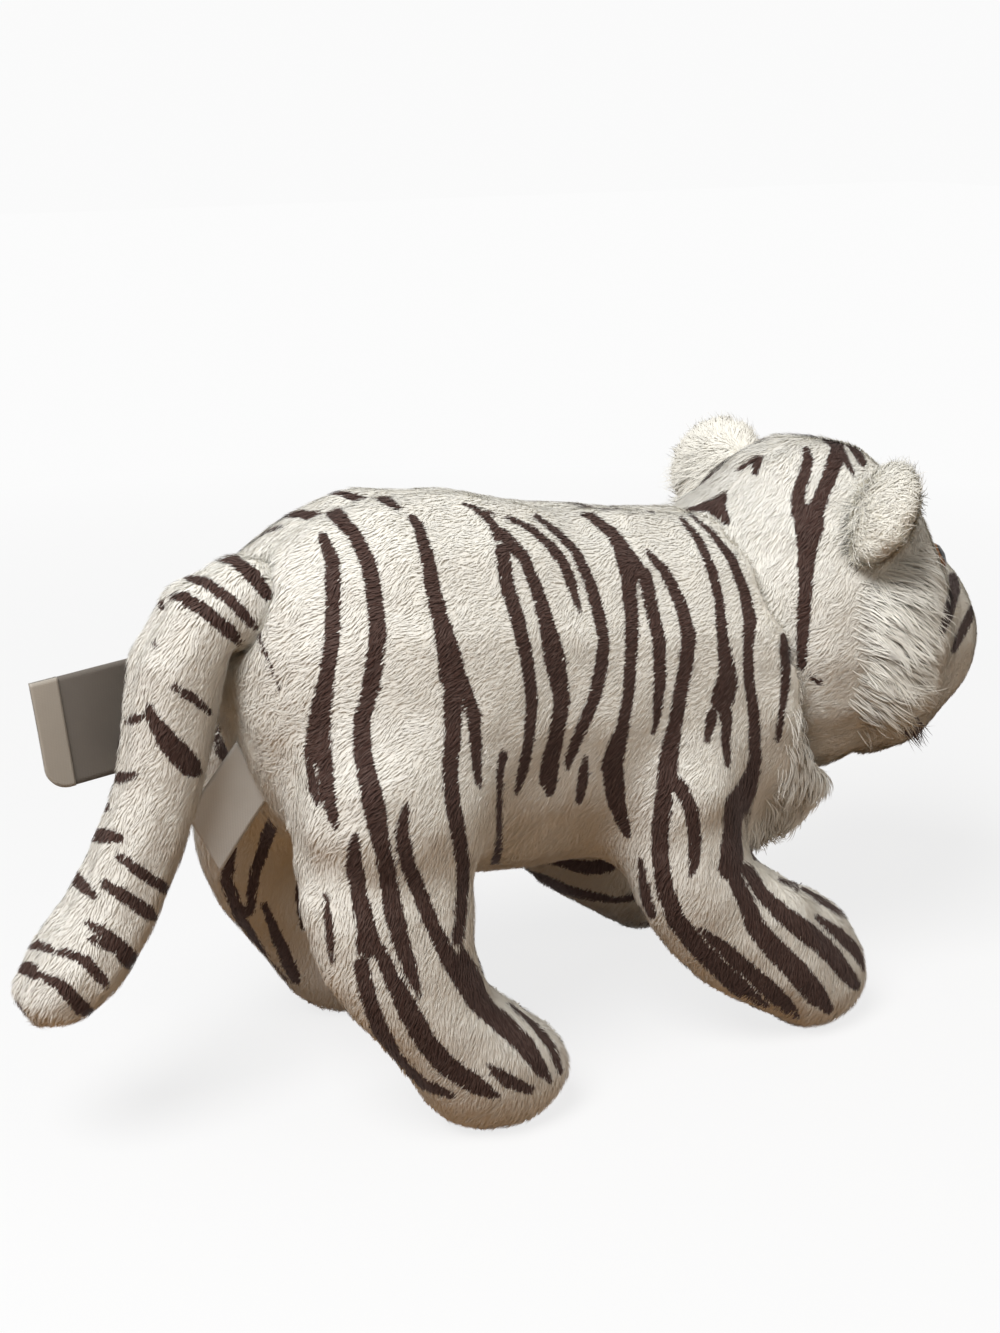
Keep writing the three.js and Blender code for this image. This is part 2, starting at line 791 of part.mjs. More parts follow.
function labelOutline(corners, rounding) {
  const outline = new THREE.Shape();
  const towards = (from, to, distance) => to.clone().sub(from).setLength(distance).add(from);
  outline.moveTo(corners[3].x, corners[3].y);
  outline.lineTo(corners[0].x, corners[0].y);
  for (const i of [1, 2]) {
    const enter = towards(corners[i], corners[i - 1], rounding);
    const leave = towards(corners[i], corners[(i + 1) % corners.length], rounding);
    outline.lineTo(enter.x, enter.y);
    outline.quadraticCurveTo(corners[i].x, corners[i].y, leave.x, leave.y);
  }
  outline.closePath();
  return outline;
}

// A sheet with its outline in the XZ plane, from one distance along Y to another.
function sheet(outline, near, far) {
  const extent = { depth: far - near, bevelEnabled: false, curveSegments: cornerSteps };
  const geometry = new THREE.ExtrudeGeometry(outline, extent);
  geometry.rotateX(Math.PI / 2);
  geometry.translate(0, far, 0);
  return solid(facingOut(welded(geometry)));
}

// The care label lies along the tail's left side, with its free end folded over into a hem.
function addCareLabel() {
  const side = tail.width * careLabel.sideShare * flatsOf(tailSides);
  const near = side + labelRoom;
  const seamPoint = tailLine.getPoint(careLabel.downShare);
  const start = new THREE.Vector2(seamPoint.x, seamPoint.z);
  const corners = labelCorners(start, careLabel.height, careLabel.length, careLabel.lean, careLabel.droop);
  const hemStart = (from, to) => to.clone().sub(from).setLength(careLabel.length - careLabel.hem).add(from);
  const hem = [hemStart(corners[0], corners[1]), corners[1], corners[2], hemStart(corners[3], corners[2])];
  const band = sheet(labelOutline(corners, careLabel.corner), near, near + satin);
  const fold = sheet(labelOutline(hem, careLabel.corner), near, near + satin * hemLayers);
  addPiece('care_label', looks.satin, band.add(fold));
}

function addNameLabel() {
  const seamPoint = torsoPoint(nameLabel.alongShare, 0, nameLabel.riseShare);
  const start = new THREE.Vector2(seamPoint.x, seamPoint.z);
  const { seamLength, length, lean, droop } = nameLabel;
  const corners = labelCorners(start, seamLength, length, lean, droop);
  const band = sheet(labelOutline(corners, nameLabel.corner), -satin / 2, satin / 2);
  addPiece('name_label', looks.satin, band.subtract(solid(swollen(torsoForm, labelRoom))));
}

addTorso();
for (const leg of [hind, front]) {
  for (const side of [-1, 1]) addLeg(leg, side);
}
addHead();
addFittings();
for (const side of [-1, 1]) {
  addEar(side);
  addRuff(side);
}
addTail();
addCareLabel();
addNameLabel();

// The toy stands with its soles on z = 0 and the middle of its outline over the origin.
const tiger = new THREE.Group();
for (const { name, look, shape } of pieces) {
  const mesh = new THREE.Mesh(geometryOf(shape), new THREE.MeshStandardMaterial(look));
  mesh.name = name;
  tiger.add(mesh);
}
const outline = new THREE.Box3().setFromObject(tiger);
const middle = outline.getCenter(new THREE.Vector3());
tiger.position.set(-middle.x, -middle.y, -outline.min.z);

export default tiger;
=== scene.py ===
"""A small stuffed tiger on four legs, sewn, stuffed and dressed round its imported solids.

Run in Blender, it makes each piece of cloth, pile, long hair, satin and plastic as an object of its own.
"""
import math

import bpy
import numpy as np
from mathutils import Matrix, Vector
from mathutils.bvhtree import BVHTree


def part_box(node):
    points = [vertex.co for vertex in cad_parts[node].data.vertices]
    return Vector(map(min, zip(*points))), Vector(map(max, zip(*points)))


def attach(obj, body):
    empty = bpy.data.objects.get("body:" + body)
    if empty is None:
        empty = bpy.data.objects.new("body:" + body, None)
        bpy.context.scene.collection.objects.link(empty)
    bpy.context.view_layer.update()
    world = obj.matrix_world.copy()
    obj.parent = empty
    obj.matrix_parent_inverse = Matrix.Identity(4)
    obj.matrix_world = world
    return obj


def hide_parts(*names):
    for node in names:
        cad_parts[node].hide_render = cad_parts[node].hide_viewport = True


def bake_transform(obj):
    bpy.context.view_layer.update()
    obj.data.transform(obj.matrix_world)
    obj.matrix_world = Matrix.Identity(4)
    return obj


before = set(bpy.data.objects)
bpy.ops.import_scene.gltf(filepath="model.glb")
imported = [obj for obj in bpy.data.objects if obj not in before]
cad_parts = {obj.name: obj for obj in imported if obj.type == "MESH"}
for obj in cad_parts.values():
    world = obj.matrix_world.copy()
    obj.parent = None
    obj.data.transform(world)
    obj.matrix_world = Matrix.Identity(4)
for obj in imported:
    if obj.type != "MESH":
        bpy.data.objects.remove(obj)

bl_info = {
    "name": "Plush tiger",
    "version": (1, 0, 0),
    "blender": (4, 5, 0),
    "location": "3D View > Sidebar > Plush tiger",
    "description": "Makes the cloth, pile and fittings of a small standing plush tiger",
    "category": "Object",
}

MM = 0.001
SIDES = (("right", -1), ("left", 1))
AHEAD = 6.51 * MM  # from the middle of the hips to the middle of the outline

# The camera, as it was matched to the photograph
VIEW_AZIMUTH = math.radians(-32.3)
VIEW_ELEVATION = math.radians(16.9)
VIEW_DISTANCE = 450 * MM
VIEW_TARGET = (-21.1 * MM + AHEAD, 0.0, 94.2 * MM)
PHOTO_SIZE = (1000, 1333)
FOCAL_PIXELS = 1935
FILM_HEIGHT = 36
NO_PRINT = 9.0  # the gap, in pixels, that stands for no print near
PIXELS_PER_METRE = FOCAL_PIXELS / VIEW_DISTANCE

# The print's stripes, read off the photograph: each point is across, down and width in its pixels
BARREL_STRIPES = (
    ((252, 618, 3), (258, 635, 3), (268, 660, 2.5), (281, 693, 1)),
    ((322, 535, 8), (332, 560, 14), (333, 600, 14), (332, 640, 14), (326, 680, 14), (320, 715, 20), (318, 750, 26)),
    ((324, 750, 14), (327, 790, 14), (333, 818, 9), (336, 828, 4)),
    ((308, 750, 8), (312, 785, 8), (318, 805, 5)),
    ((326, 506, 12), (338, 516, 14), (356, 537, 12), (369, 565, 15), (375, 600, 15), (378, 635, 16), (372, 680, 16),
     (362, 720, 16), (362, 750, 17), (368, 780, 19), (375, 810, 21), (380, 840, 17), (384, 855, 15), (389, 885, 17),
     (394, 915, 18), (402, 945, 15), (412, 975, 12), (420, 996, 3)),
    ((354, 492, 3), (365, 491, 6), (378, 494, 9), (388, 501, 8), (399, 509, 4)),
    ((411, 517, 6), (418, 525, 9), (427, 555, 12), (433, 590, 14), (442, 625, 16), (450, 660, 23), (452, 675, 26)),
    ((452, 690, 17), (453, 730, 15), (450, 770, 14), (453, 805, 14), (459, 835, 14), (463, 865, 13), (462, 905, 10),
     (458, 940, 10)),
    ((463, 955, 10), (478, 980, 10), (489, 1003, 9), (494, 1010, 6)),
    ((462, 680, 12), (474, 715, 12), (476, 750, 10), (478, 780, 6), (480, 788, 3)),
    ((462, 503, 2), (475, 508, 4), (485, 516, 5), (493, 525, 7), (499, 535, 12)),
    ((502, 550, 13), (508, 590, 13), (518, 620, 13), (527, 660, 12), (532, 700, 11), (529, 740, 9), (523, 770, 9),
     (517, 793, 4)),
    ((505, 535, 10), (524, 558, 10), (537, 590, 11), (546, 620, 14), (555, 660, 20), (562, 700, 15), (556, 740, 13),
     (550, 760, 16), (548, 780, 17), (550, 793, 8)),
    ((507, 517, 3), (530, 528, 6), (550, 545, 8), (563, 562, 9), (573, 588, 9), (580, 612, 3)),
    ((536, 516, 3), (557, 532, 6), (577, 553, 8), (589, 580, 10), (598, 610, 11), (604, 640, 10), (601, 670, 12),
     (594, 700, 11), (581, 730, 10), (570, 757, 8), (567, 770, 3)),
    ((582, 514, 3), (592, 517, 7), (612, 533, 10), (620, 545, 14), (632, 570, 24)),
    ((628, 580, 13), (632, 620, 12), (631, 660, 11), (628, 700, 10), (622, 730, 12), (612, 765, 20), (616, 800, 18),
     (622, 820, 12), (628, 835, 6)),
    ((645, 575, 12), (651, 605, 12), (659, 640, 12), (660, 680, 11), (657, 715, 7), (653, 734, 2)),
    ((647, 551, 3), (665, 572, 9), (680, 602, 11), (689, 635, 13), (686, 665, 13), (680, 695, 12), (675, 725, 14),
     (669, 755, 17), (667, 785, 20)),
    ((681, 518, 3), (699, 540, 7), (712, 570, 8), (719, 600, 8), (723, 640, 10), (727, 670, 16), (727, 685, 20),
     (722, 700, 22)),
    ((712, 715, 10), (709, 730, 8), (707, 742, 4)),
    ((726, 715, 11), (726, 745, 7), (728, 765, 5)),
    ((690, 514, 2), (712, 533, 4), (731, 558, 8), (744, 590, 9), (750, 620, 12), (748, 650, 9), (749, 680, 9),
     (754, 715, 10), (755, 760, 11), (752, 775, 14), (746, 790, 20), (738, 805, 26), (733, 840, 20), (731, 868, 24)),
    ((585, 757, 4), (584, 770, 8), (582, 785, 9), (579, 801, 6)),
    ((783, 635, 4), (785, 650, 9), (786, 680, 8), (782, 710, 5), (778, 740, 5)),
    ((396, 488, 2), (403, 490, 2)),
    ((485, 511, 2), (495, 514, 2)),
    ((600, 508, 2), (618, 507, 2)),
    ((645, 508, 2), (653, 512, 2)),
)
HIND_STRIPES = (
    ((355, 836, 5), (354, 850, 12), (354, 865, 16), (360, 900, 15), (367, 930, 19), (368, 945, 24)),
    ((361, 965, 14), (369, 1000, 15), (380, 1030, 15), (397, 1060, 13), (420, 1083, 11), (452, 1096, 6)),
    ((380, 950, 12), (392, 980, 15), (408, 1010, 20), (424, 1040, 20), (445, 1065, 19), (475, 1085, 18),
     (500, 1098, 4)),
    ((405, 806, 5), (402, 835, 13), (408, 865, 13), (420, 895, 14), (432, 925, 14), (447, 955, 15), (462, 980, 18),
     (478, 1003, 18), (503, 1024, 20), (525, 1045, 18), (540, 1068, 13), (551, 1082, 4)),
    ((489, 1066, 5), (508, 1081, 13), (530, 1090, 8)),
    ((510, 1003, 3), (532, 1022, 6), (552, 1047, 8), (561, 1072, 5)),
    ((325, 893, 3), (328, 920, 7), (331, 950, 6), (332, 965, 3)),
    ((503, 755, 8), (500, 775, 5), (499, 820, 5), (499, 840, 5), (497, 855, 7), (493, 870, 7)),
)
FRONT_STRIPES = (
    ((664, 800, 18), (660, 830, 16), (660, 860, 16), (665, 890, 16), (676, 920, 17), (696, 946, 18), (720, 970, 17),
     (745, 993, 16), (768, 1012, 9), (778, 1018, 5)),
    ((680, 785, 12), (692, 812, 13), (695, 840, 12), (694, 866, 9), (690, 875, 4)),
    ((701, 930, 5), (722, 947, 12), (745, 968, 14), (768, 988, 16), (788, 1008, 14), (795, 1016, 8)),
    ((733, 875, 14), (745, 900, 15), (756, 928, 18), (775, 950, 21), (797, 972, 22), (815, 994, 22), (828, 1009, 10)),
    ((748, 870, 12), (763, 895, 12), (785, 916, 17), (810, 935, 20), (832, 955, 17), (848, 976, 14), (856, 986, 9)),
    ((817, 917, 4), (838, 933, 10), (857, 952, 11), (868, 972, 6)),
    ((780, 878, 5), (812, 893, 9), (840, 910, 9), (862, 930, 9), (874, 955, 5)),
    ((800, 877, 3), (832, 888, 7), (856, 905, 8), (872, 928, 5)),
    ((815, 875, 3), (850, 884, 5), (868, 905, 4)),
    ((640, 860, 4), (643, 880, 8), (646, 900, 10), (652, 915, 8)),
)
INNER_HIND_STRIPES = (
    ((277, 815, 12), (268, 835, 12), (254, 875, 10), (250, 912, 7)),
    ((310, 828, 9), (308, 850, 10), (304, 895, 16), (305, 925, 10)),
    ((264, 905, 5), (276, 935, 10), (289, 965, 12), (296, 980, 8)),
    ((232, 850, 8), (226, 880, 11), (243, 925, 12), (268, 965, 8), (285, 982, 6)),
)
HEAD_STRIPES = (
    ((806, 450, 6), (808, 460, 9), (804, 475, 11), (797, 500, 12), (800, 512, 16)),
    ((838, 445, 11), (836, 458, 15), (831, 472, 14), (820, 500, 13), (816, 512, 16)),
    ((809, 520, 29), (809, 530, 27), (808, 540, 21), (806, 570, 14), (804, 610, 12), (802, 650, 10), (802, 666, 8)),
    ((825, 438, 5), (840, 450, 7), (846, 460, 5), (854, 475, 2)),
    ((845, 438, 7), (854, 446, 9), (863, 463, 6)),
    ((733, 477, 3), (724, 485, 9), (715, 505, 20), (727, 522, 6)),
    ((764, 446, 3), (759, 455, 8), (755, 473, 5)),
    ((953, 577, 8), (955, 590, 9), (948, 615, 9), (937, 642, 4)),
    ((974, 605, 5), (968, 620, 8), (962, 632, 8), (957, 643, 6), (953, 652, 3)),
    ((932, 530, 3), (937, 545, 5), (941, 556, 3)),
    ((682, 506, 1.5), (700, 490, 1.5), (720, 468, 1.5), (740, 452, 1.5), (760, 445, 1.5)),
    ((810, 677, 4), (820, 683, 5)),
)
CHIN_HAIRS = (909, 722)  # the middle of the dark hairs on the chin
CHIN_REACH = 9  # how far from it they grow, in pixels
# the face, which the photograph hides: places outwards and up, in millimetres, and widths
FACE_STRIPES = (
    ((0.0, 136.0, 3.2), (0.0, 130.0, 2.6), (0.0, 124.0, 1.0)),
    ((5.0, 133.0, 2.2), (7.5, 127.5, 2.4), (9.0, 122.0, 0.8)),
    ((11.0, 129.0, 1.6), (15.0, 124.5, 2.4), (17.0, 119.0, 0.8)),
    ((9.0, 116.0, 0.8), (13.0, 117.5, 1.6), (18.0, 116.5, 1.6), (22.0, 113.0, 0.6)),
    ((26.0, 114.0, 0.8), (29.0, 108.0, 2.2), (33.0, 103.0, 1.8)),
    ((25.0, 104.0, 0.8), (29.5, 99.0, 2.4), (34.0, 95.0, 1.6)),
    ((24.0, 94.0, 0.8), (29.0, 90.0, 2.2), (33.0, 87.0, 1.4)),
    ((0.0, 84.0, 1.0), (0.0, 78.0, 1.1), (2.0, 75.6, 1.1), (5.5, 74.6, 1.1), (9.0, 75.6, 1.0), (11.5, 78.0, 0.7)),
    ((10.0, 86.0, 0.9), (10.3, 86.0, 0.9)),
    ((14.0, 84.0, 0.9), (14.3, 84.0, 0.9)),
    ((11.5, 81.5, 0.9), (11.8, 81.5, 0.9)),
)
TAIL_STRIPES = (
    ((245, 541, 5), (258, 545, 12), (268, 550, 14), (272, 556, 8)),
    ((212, 557, 5), (232, 558, 10), (254, 577, 14), (268, 596, 10)),
    ((186, 577, 5), (207, 583, 9), (230, 600, 10), (250, 622, 9), (256, 628, 5)),
    ((172, 597, 5), (183, 597, 12), (206, 612, 12), (230, 632, 12), (238, 641, 8)),
    ((173, 687, 5), (193, 698, 9), (210, 713, 5)),
    ((127, 722, 4), (133, 720, 9), (143, 716, 6)),
    ((149, 705, 4), (150, 715, 10), (168, 742, 20), (180, 755, 22), (190, 766, 20), (197, 772, 10)),
    ((110, 778, 4), (120, 778, 11), (135, 775, 5)),
    ((93, 835, 12), (103, 836, 14), (120, 838, 8)),
    ((118, 855, 6), (138, 871, 10), (162, 887, 10), (170, 892, 6)),
    ((72, 873, 10), (78, 882, 12), (95, 897, 6)),
    ((103, 883, 7), (124, 896, 12), (148, 913, 13), (155, 918, 6)),
    ((84, 921, 4), (103, 932, 9), (122, 950, 16), (130, 960, 18), (135, 966, 8)),
    ((90, 940, 4), (100, 943, 7), (110, 948, 8)),
    ((28, 947, 4), (38, 945, 9), (60, 954, 5)),
    ((65, 952, 6), (86, 962, 11), (103, 980, 10), (107, 987, 5)),
    ((20, 968, 8), (28, 969, 14), (36, 975, 10)),
    ((42, 975, 6), (62, 987, 12), (82, 1008, 14), (90, 1013, 8)),
    ((15, 1005, 8), (24, 1022, 6)),
    ((274, 533, 7), (279, 535, 7)),
    ((154, 643, 4), (156, 646, 4)),
    ((160, 604, 5), (162, 608, 5)),
    ((104, 804, 8), (106, 808, 8)),
)
# the tail's bend and swell in the photograph: height, place of its middle, way ahead (mm) and thickness
TAIL_POSE = (
    (33, -126, -0.8, 1.12),
    (42, -123, 0.0, 1.08),
    (51, -119.5, 2.5, 1.0),
    (59, -115, 3.9, 0.9),
    (67, -111, 4.6, 0.88),
    (84, -104, 4.1, 0.89),
    (96, -99, 2.0, 0.95),
    (110, -91, 0.0, 1.0),
)
CHEST_START = 34 * MM + AHEAD
CHEST_LEVEL = 82 * MM  # the chest is whole below this height
CHEST_BACK = 5.0 * MM  # how far the chest is drawn back
# how the ears stand in the photograph: growth along the axes, shift in mm and lean for each length above the seat
EAR_FIT = {
    "right": ((1.35, 1, 1), (-3.2, 1.8, -0.4), (-0.13, 0.1, 0)),
    "left": ((1.14, 1, 1.02), (0.4, -1.8, -0.4), (0, 0, 0)),
}
RIM_RADIUS = 5.2 * MM  # of the eye's dark rim
EYE_DEPTH = 1.7 * MM  # how far the eyes are drawn into the pile
# the labels: corners along and up in mm, from the sewn edge's top round
CARE_CORNERS = ((-100.76, 107.9), (-129.65, 105.37), (-127.09, 81.0), (-98.2, 83.53))
CARE_PLACE = 10.7 * MM  # the plane of the care label, to the left of the middle
HEM_START = 23 / 29  # the share of the care label's length at which its hem starts
NAME_CORNERS = ((-88.32, 88.2), (-100.53, 73.65), (-93.52, 59.26), (-81.31, 73.82))
SATIN_THICKNESS = 0.32 * MM
HEM_THICKNESS = 1.0 * MM
FLOOR_HALF = 3.0
# the lamps: name, place, power, width and colour
LAMPS = (
    ("key_lamp", (-0.62, -0.34, 0.98), 14.7, 0.6, (1.0, 1.0, 1.0)),
    ("fill_lamp", (0.8, -0.75, 0.45), 2.0, 0.6, (1.0, 0.9, 0.76)),
)
LIT_HEIGHT = 80 * MM  # the height that the lamps point at
WORLD_LIGHT, WORLD_SHOWN = 0.22, 0.96  # the world's strength as light, and as the background that is seen


class PlushSewing(bpy.types.PropertyGroup):
    """How the cloth is laid over the stuffing."""

    grain: bpy.props.FloatProperty(
        name="Grain", description="Size of the cloth's facets", default=1.6 * MM, unit="LENGTH"
    )
    bridge: bpy.props.FloatProperty(
        name="Bridge", description="Half the width of the gaps that the cloth spans", default=2.6 * MM, unit="LENGTH"
    )
    lump: bpy.props.FloatProperty(
        name="Lumps", description="Height of the stuffing's lumps", default=0.55 * MM, unit="LENGTH"
    )
    crease: bpy.props.FloatProperty(
        name="Crease", description="Depth of the fold where a leg meets the torso", default=0.9 * MM, unit="LENGTH"
    )
    overlap: bpy.props.FloatProperty(
        name="Overlap", description="How far a leg's cloth reaches under the torso's", default=7 * MM, unit="LENGTH"
    )


class PlushPile(bpy.types.PropertyGroup):
    """The pile of the cloth and the long hair."""

    length: bpy.props.FloatProperty(
        name="Pile length", description="Length of the short pile", default=2.8 * MM, unit="LENGTH"
    )
    width: bpy.props.FloatProperty(
        name="Tuft width", description="Width of a tuft at its middle", default=0.33 * MM, unit="LENGTH"
    )
    lean: bpy.props.FloatProperty(
        name="Lean", description="How far the pile lies over", default=math.radians(81), unit="ROTATION"
    )
    per_square: bpy.props.FloatProperty(
        name="Tufts", description="Tufts of pile on a square millimetre", default=2.6, min=0.1, max=4
    )
    cheek: bpy.props.FloatProperty(
        name="Cheek hair", description="Length of the hair on the cheeks", default=14 * MM, unit="LENGTH"
    )
    ear: bpy.props.FloatProperty(
        name="Ear hair", description="Length of the hair on the ears", default=4.6 * MM, unit="LENGTH"
    )
    chest: bpy.props.FloatProperty(
        name="Chest hair", description="Length of the hair on the chest", default=7 * MM, unit="LENGTH"
    )


def tone(red, green, blue):
    """A colour as it is written for a screen, from 0 to 255, as light."""
    shares = [c / 255 for c in (red, green, blue)]
    return tuple(c / 12.92 if c <= 0.04045 else ((c + 0.055) / 1.055) ** 2.4 for c in shares)


def colour(name, description, *screen):
    return bpy.props.FloatVectorProperty(
        name=name, description=description, default=tone(*screen), subtype="COLOR", size=3, min=0, max=1
    )


class PlushColours(bpy.types.PropertyGroup):
    """The colours of the cloth and the fittings."""

    # the root colours are painted shade: each is its tip colour darkened as the pile shades itself down between the
    # tufts
    white: colour("White", "Tips of the white pile", 241, 239, 232)
    white_root_shade: colour("White root", "Roots of the white pile", 231, 227, 217)
    stripe: colour("Stripe", "Tips of the printed pile", 80, 53, 44)
    stripe_root_shade: colour("Stripe root", "Roots of the printed pile", 52, 33, 27)
    hair: colour("Hair", "Tips of the long hair", 246, 243, 234)
    hair_root_shade: colour("Hair root", "Roots of the long hair", 236, 232, 220)
    satin: colour("Satin", "The care label's satin", 116, 109, 101)
    hem: colour("Hem", "The care label's hem", 180, 172, 160)
    ribbon: colour("Ribbon", "The name label's satin", 228, 226, 220)
    eye: colour("Iris", "The ring of the eye", 120, 74, 26)
    nose: colour("Nose", "The nose's plastic", 168, 108, 98)


class Wire:
    """A socket that a sum, a difference, a product or a quotient can be written with."""

    def __init__(self, board, socket):
        self.board = board
        self.socket = socket

    def maths(self, operation, *others, clamp=False):
        values = {i: value for i, value in enumerate((self, *others))}
        return self.board.node("Math", values, operation=operation, use_clamp=clamp)

    def __add__(self, other):
        return self.maths("ADD", other)

    __radd__ = __add__

    def __mul__(self, other):
        return self.maths("MULTIPLY", other)

    __rmul__ = __mul__

    def __sub__(self, other):
        return self.maths("SUBTRACT", other)

    def __rsub__(self, other):
        return self.board.node("Math", {0: other, 1: self}, operation="SUBTRACT")

    def __truediv__(self, other):
        return self.maths("DIVIDE", other)

    def clipped(self):
        return self.maths("ADD", 0.0, clamp=True)


class Board:
    """The nodes of a material or of the world."""

    def __init__(self, owner):
        self.owner = owner
        owner.use_nodes = True
        self.tree = owner.node_tree
        self.tree.nodes.clear()

    def node(self, kind, sockets=None, output=0, stops=None, **settings):
        """A node of that kind, with its settings set first and then its sockets' values or links."""
        made = self.tree.nodes.new("ShaderNode" + kind)
        for setting, value in settings.items():
            setattr(made, setting, value)
        for i, (place, shade) in enumerate(stops or ()):
            ramp = made.color_ramp.elements
            stop = ramp[i] if i < len(ramp) else ramp.new(place)
            stop.position = place
            stop.color = (*shade, 1) if hasattr(shade, "__len__") else (shade, shade, shade, 1)
        for socket, value in (sockets or {}).items():
            if isinstance(value, Wire):
                self.tree.links.new(value.socket, made.inputs[socket])
            else:
                made.inputs[socket].default_value = value
        return Wire(self, made.outputs[output]) if made.outputs else None

    def attribute(self, name):
        return self.node("Attribute", output="Fac", attribute_name=name)

    def place(self):
        return self.node("TexCoord", output="Object")

    def noise(self, scale, detail, roughness):
        values = {"Vector": self.place(), "Scale": scale, "Detail": detail, "Roughness": roughness}
        return self.node("TexNoise", values, output="Fac")

    def mix(self, share, low, high):
        """One colour and another, by a share: the Mix node's colours are its sockets 6 and 7, and its output 2."""
        ends = [shade if isinstance(shade, Wire) else (*shade, 1) for shade in (low, high)]
        return self.node("Mix", {0: share, 6: ends[0], 7: ends[1]}, output=2, data_type="RGBA")

    def mix_shader(self, share, low, high):
        return self.node("MixShader", {0: share, 1: low, 2: high}, output="Shader")

    def background_rays(self):
        """1 for the rays that show the background, from the camera and off gloss, and 0 for those that light."""
        glossy = self.node("LightPath", output="Is Glossy Ray")
        return self.node("LightPath", output="Is Camera Ray").maths("MAXIMUM", glossy)

    def bump(self, height, distance, strength):
        values = {"Height": height, "Distance": distance, "Strength": strength}
        return self.node("Bump", values, output="Normal")

    def finish(self, **sockets):
        """Closes the board with the surface's shader."""
        values = {name.replace("_", " "): value for name, value in sockets.items()}
        self.node("OutputMaterial", {"Surface": self.node("BsdfPrincipled", values, output="BSDF")})
        return self.owner


def board_of(name):
    """The empty board of a new material."""
    return Board(bpy.data.materials.new(name))


def pile_finish(name, tip, root, stripe=None, stripe_root_shade=None):
    """Pile with painted shade that darkens it towards its roots, with every tuft a little different, and printed
    where the print is.
    """
    board = board_of(name)
    rise = board.attribute("rise")
    tuft = board.attribute("tuft")
    cloud = board.noise(55, 3, 0.6)
    # painted shade: down each tuft, by its rise, the tip colour gives way to the darker root colour, under a random
    # cloud
    unshaded_share = (rise * 0.9 + cloud * 0.3 - 0.1).clipped()
    shade = board.mix(unshaded_share, root, tip)
    if stripe:
        # painted shade: the print darkens towards the roots too, by a random share for each tuft
        printed = board.mix((rise * 0.8 + tuft * 0.35 - 0.1).clipped(), stripe_root_shade, stripe)
        frayed = board.attribute("print_gap") + (board.noise(1500, 2, 0.6) - 0.5) * 3.0
        shade = board.mix((1.1 - frayed / 1.4).clipped(), shade, printed)
    shade = board.mix((tuft * 0.08).clipped(), shade, tuple(c * 0.45 for c in tip))
    fine = board.noise(2600, 2, 0.6)
    return board.finish(
        Base_Color=shade,
        Roughness=0.86 - rise * 0.12,
        Normal=board.bump(fine, 0.1 * MM, 0.3),
        Specular_IOR_Level=0.28,
        Sheen_Weight=0.06,
        Sheen_Roughness=0.45,
    )


def printed_finish(name, colours):
    """The finish of white pile with the print's stripes."""
    return pile_finish(name, colours.white, colours.white_root_shade, colours.stripe, colours.stripe_root_shade)


def satin_finish(name, shade, dark):
    """Woven satin: fine ribs across, a soft gloss, and soft grey patches laid at random as painted fold shade."""
    board = board_of(name)
    ribs, cross = (
        board.node(
            "TexWave", {"Vector": board.place(), "Scale": scale, "Distortion": bend, "Detail": 1.0}, output="Fac",
            bands_direction=way,
        )
        for scale, bend, way in ((900.0, 0.6, "Z"), (520.0, 0.4, "X"))
    )
    cloud = board.noise(90, 3, 0.6)
    weave = ribs * 0.6 + cross * 0.4
    # painted fold shade: the cloud lays the darker grey in soft patches at random
    mixed = board.mix((cloud * 0.7 + weave * 0.25).clipped(), dark, shade)
    return board.finish(
        Base_Color=mixed,
        Roughness=0.42 + weave * 0.12,
        Normal=board.bump(weave, 0.05 * MM, 0.5),
        Sheen_Weight=0.15,
    )


def fibre_finish(name, shade, dark):
    """Loose wadding."""
    board = board_of(name)
    strands = board.noise(900, 4, 0.7)
    return board.finish(
        Base_Color=board.mix(strands, dark, shade),
        Roughness=0.8 + strands * 0.15,
        Normal=board.bump(strands, 0.4 * MM, 0.8),
    )


def plastic_finish(name, shade, dark, gloss):
    """Moulded plastic with a faint orange peel."""
    board = board_of(name)
    peel = board.noise(1400, 2, 0.5)
    cloud = board.noise(160, 3, 0.6)
    return board.finish(
        Base_Color=board.mix(cloud, dark, shade),
        Roughness=gloss + cloud * 0.1,
        Normal=board.bump(peel, 0.02 * MM, 0.4),
        Coat_Weight=0.4,
    )


def eye_finish(name, ring, middle):
    """A glass-like eye: a dark pupil and rim with a brown ring between them, round the eye's own middle."""
    board = board_of(name)
    outward = board.node("VectorMath", {0: board.place(), 1: middle}, operation="SUBTRACT")
    away = board.node("VectorMath", {0: outward}, output="Value", operation="LENGTH")
    flecks = board.noise(1800, 3, 0.6)
    share = away / RIM_RADIUS + (flecks - 0.5) * 0.05
    pupil = tone(12, 9, 8)
    banded = board.node(
        "ValToRGB", {0: share}, output="Color",
        stops=((0.0, pupil), (0.5, pupil), (0.56, ring), (0.8, tuple(c * 0.55 for c in ring)), (0.92, pupil)),
    )
    return board.finish(Base_Color=banded, Roughness=0.22 + flecks * 0.06, Specular_IOR_Level=0.14)


# ---- shapes ----


def photo_axes():
    """The matched camera's place and its axes: across, up and ahead."""
    sin_a, cos_a = math.sin(VIEW_AZIMUTH), math.cos(VIEW_AZIMUTH)
    sin_e, cos_e = math.sin(VIEW_ELEVATION), math.cos(VIEW_ELEVATION)
    back = np.array([sin_a * cos_e, -cos_a * cos_e, sin_e])
    across = np.array([cos_a, sin_a, 0.0])
    return np.array(VIEW_TARGET) + VIEW_DISTANCE * back, across, np.cross(back, across), -back


def on_photo(points):
    """Where points of the model stand in the photograph, in its pixels."""
    eye, across, up, ahead = photo_axes()
    arm = points - eye
    depth = arm @ ahead
    middle = (PHOTO_SIZE[0] / 2, PHOTO_SIZE[1] / 2)
    return np.stack(
        (middle[0] + FOCAL_PIXELS * (arm @ across) / depth, middle[1] - FOCAL_PIXELS * (arm @ up) / depth), 1
    )


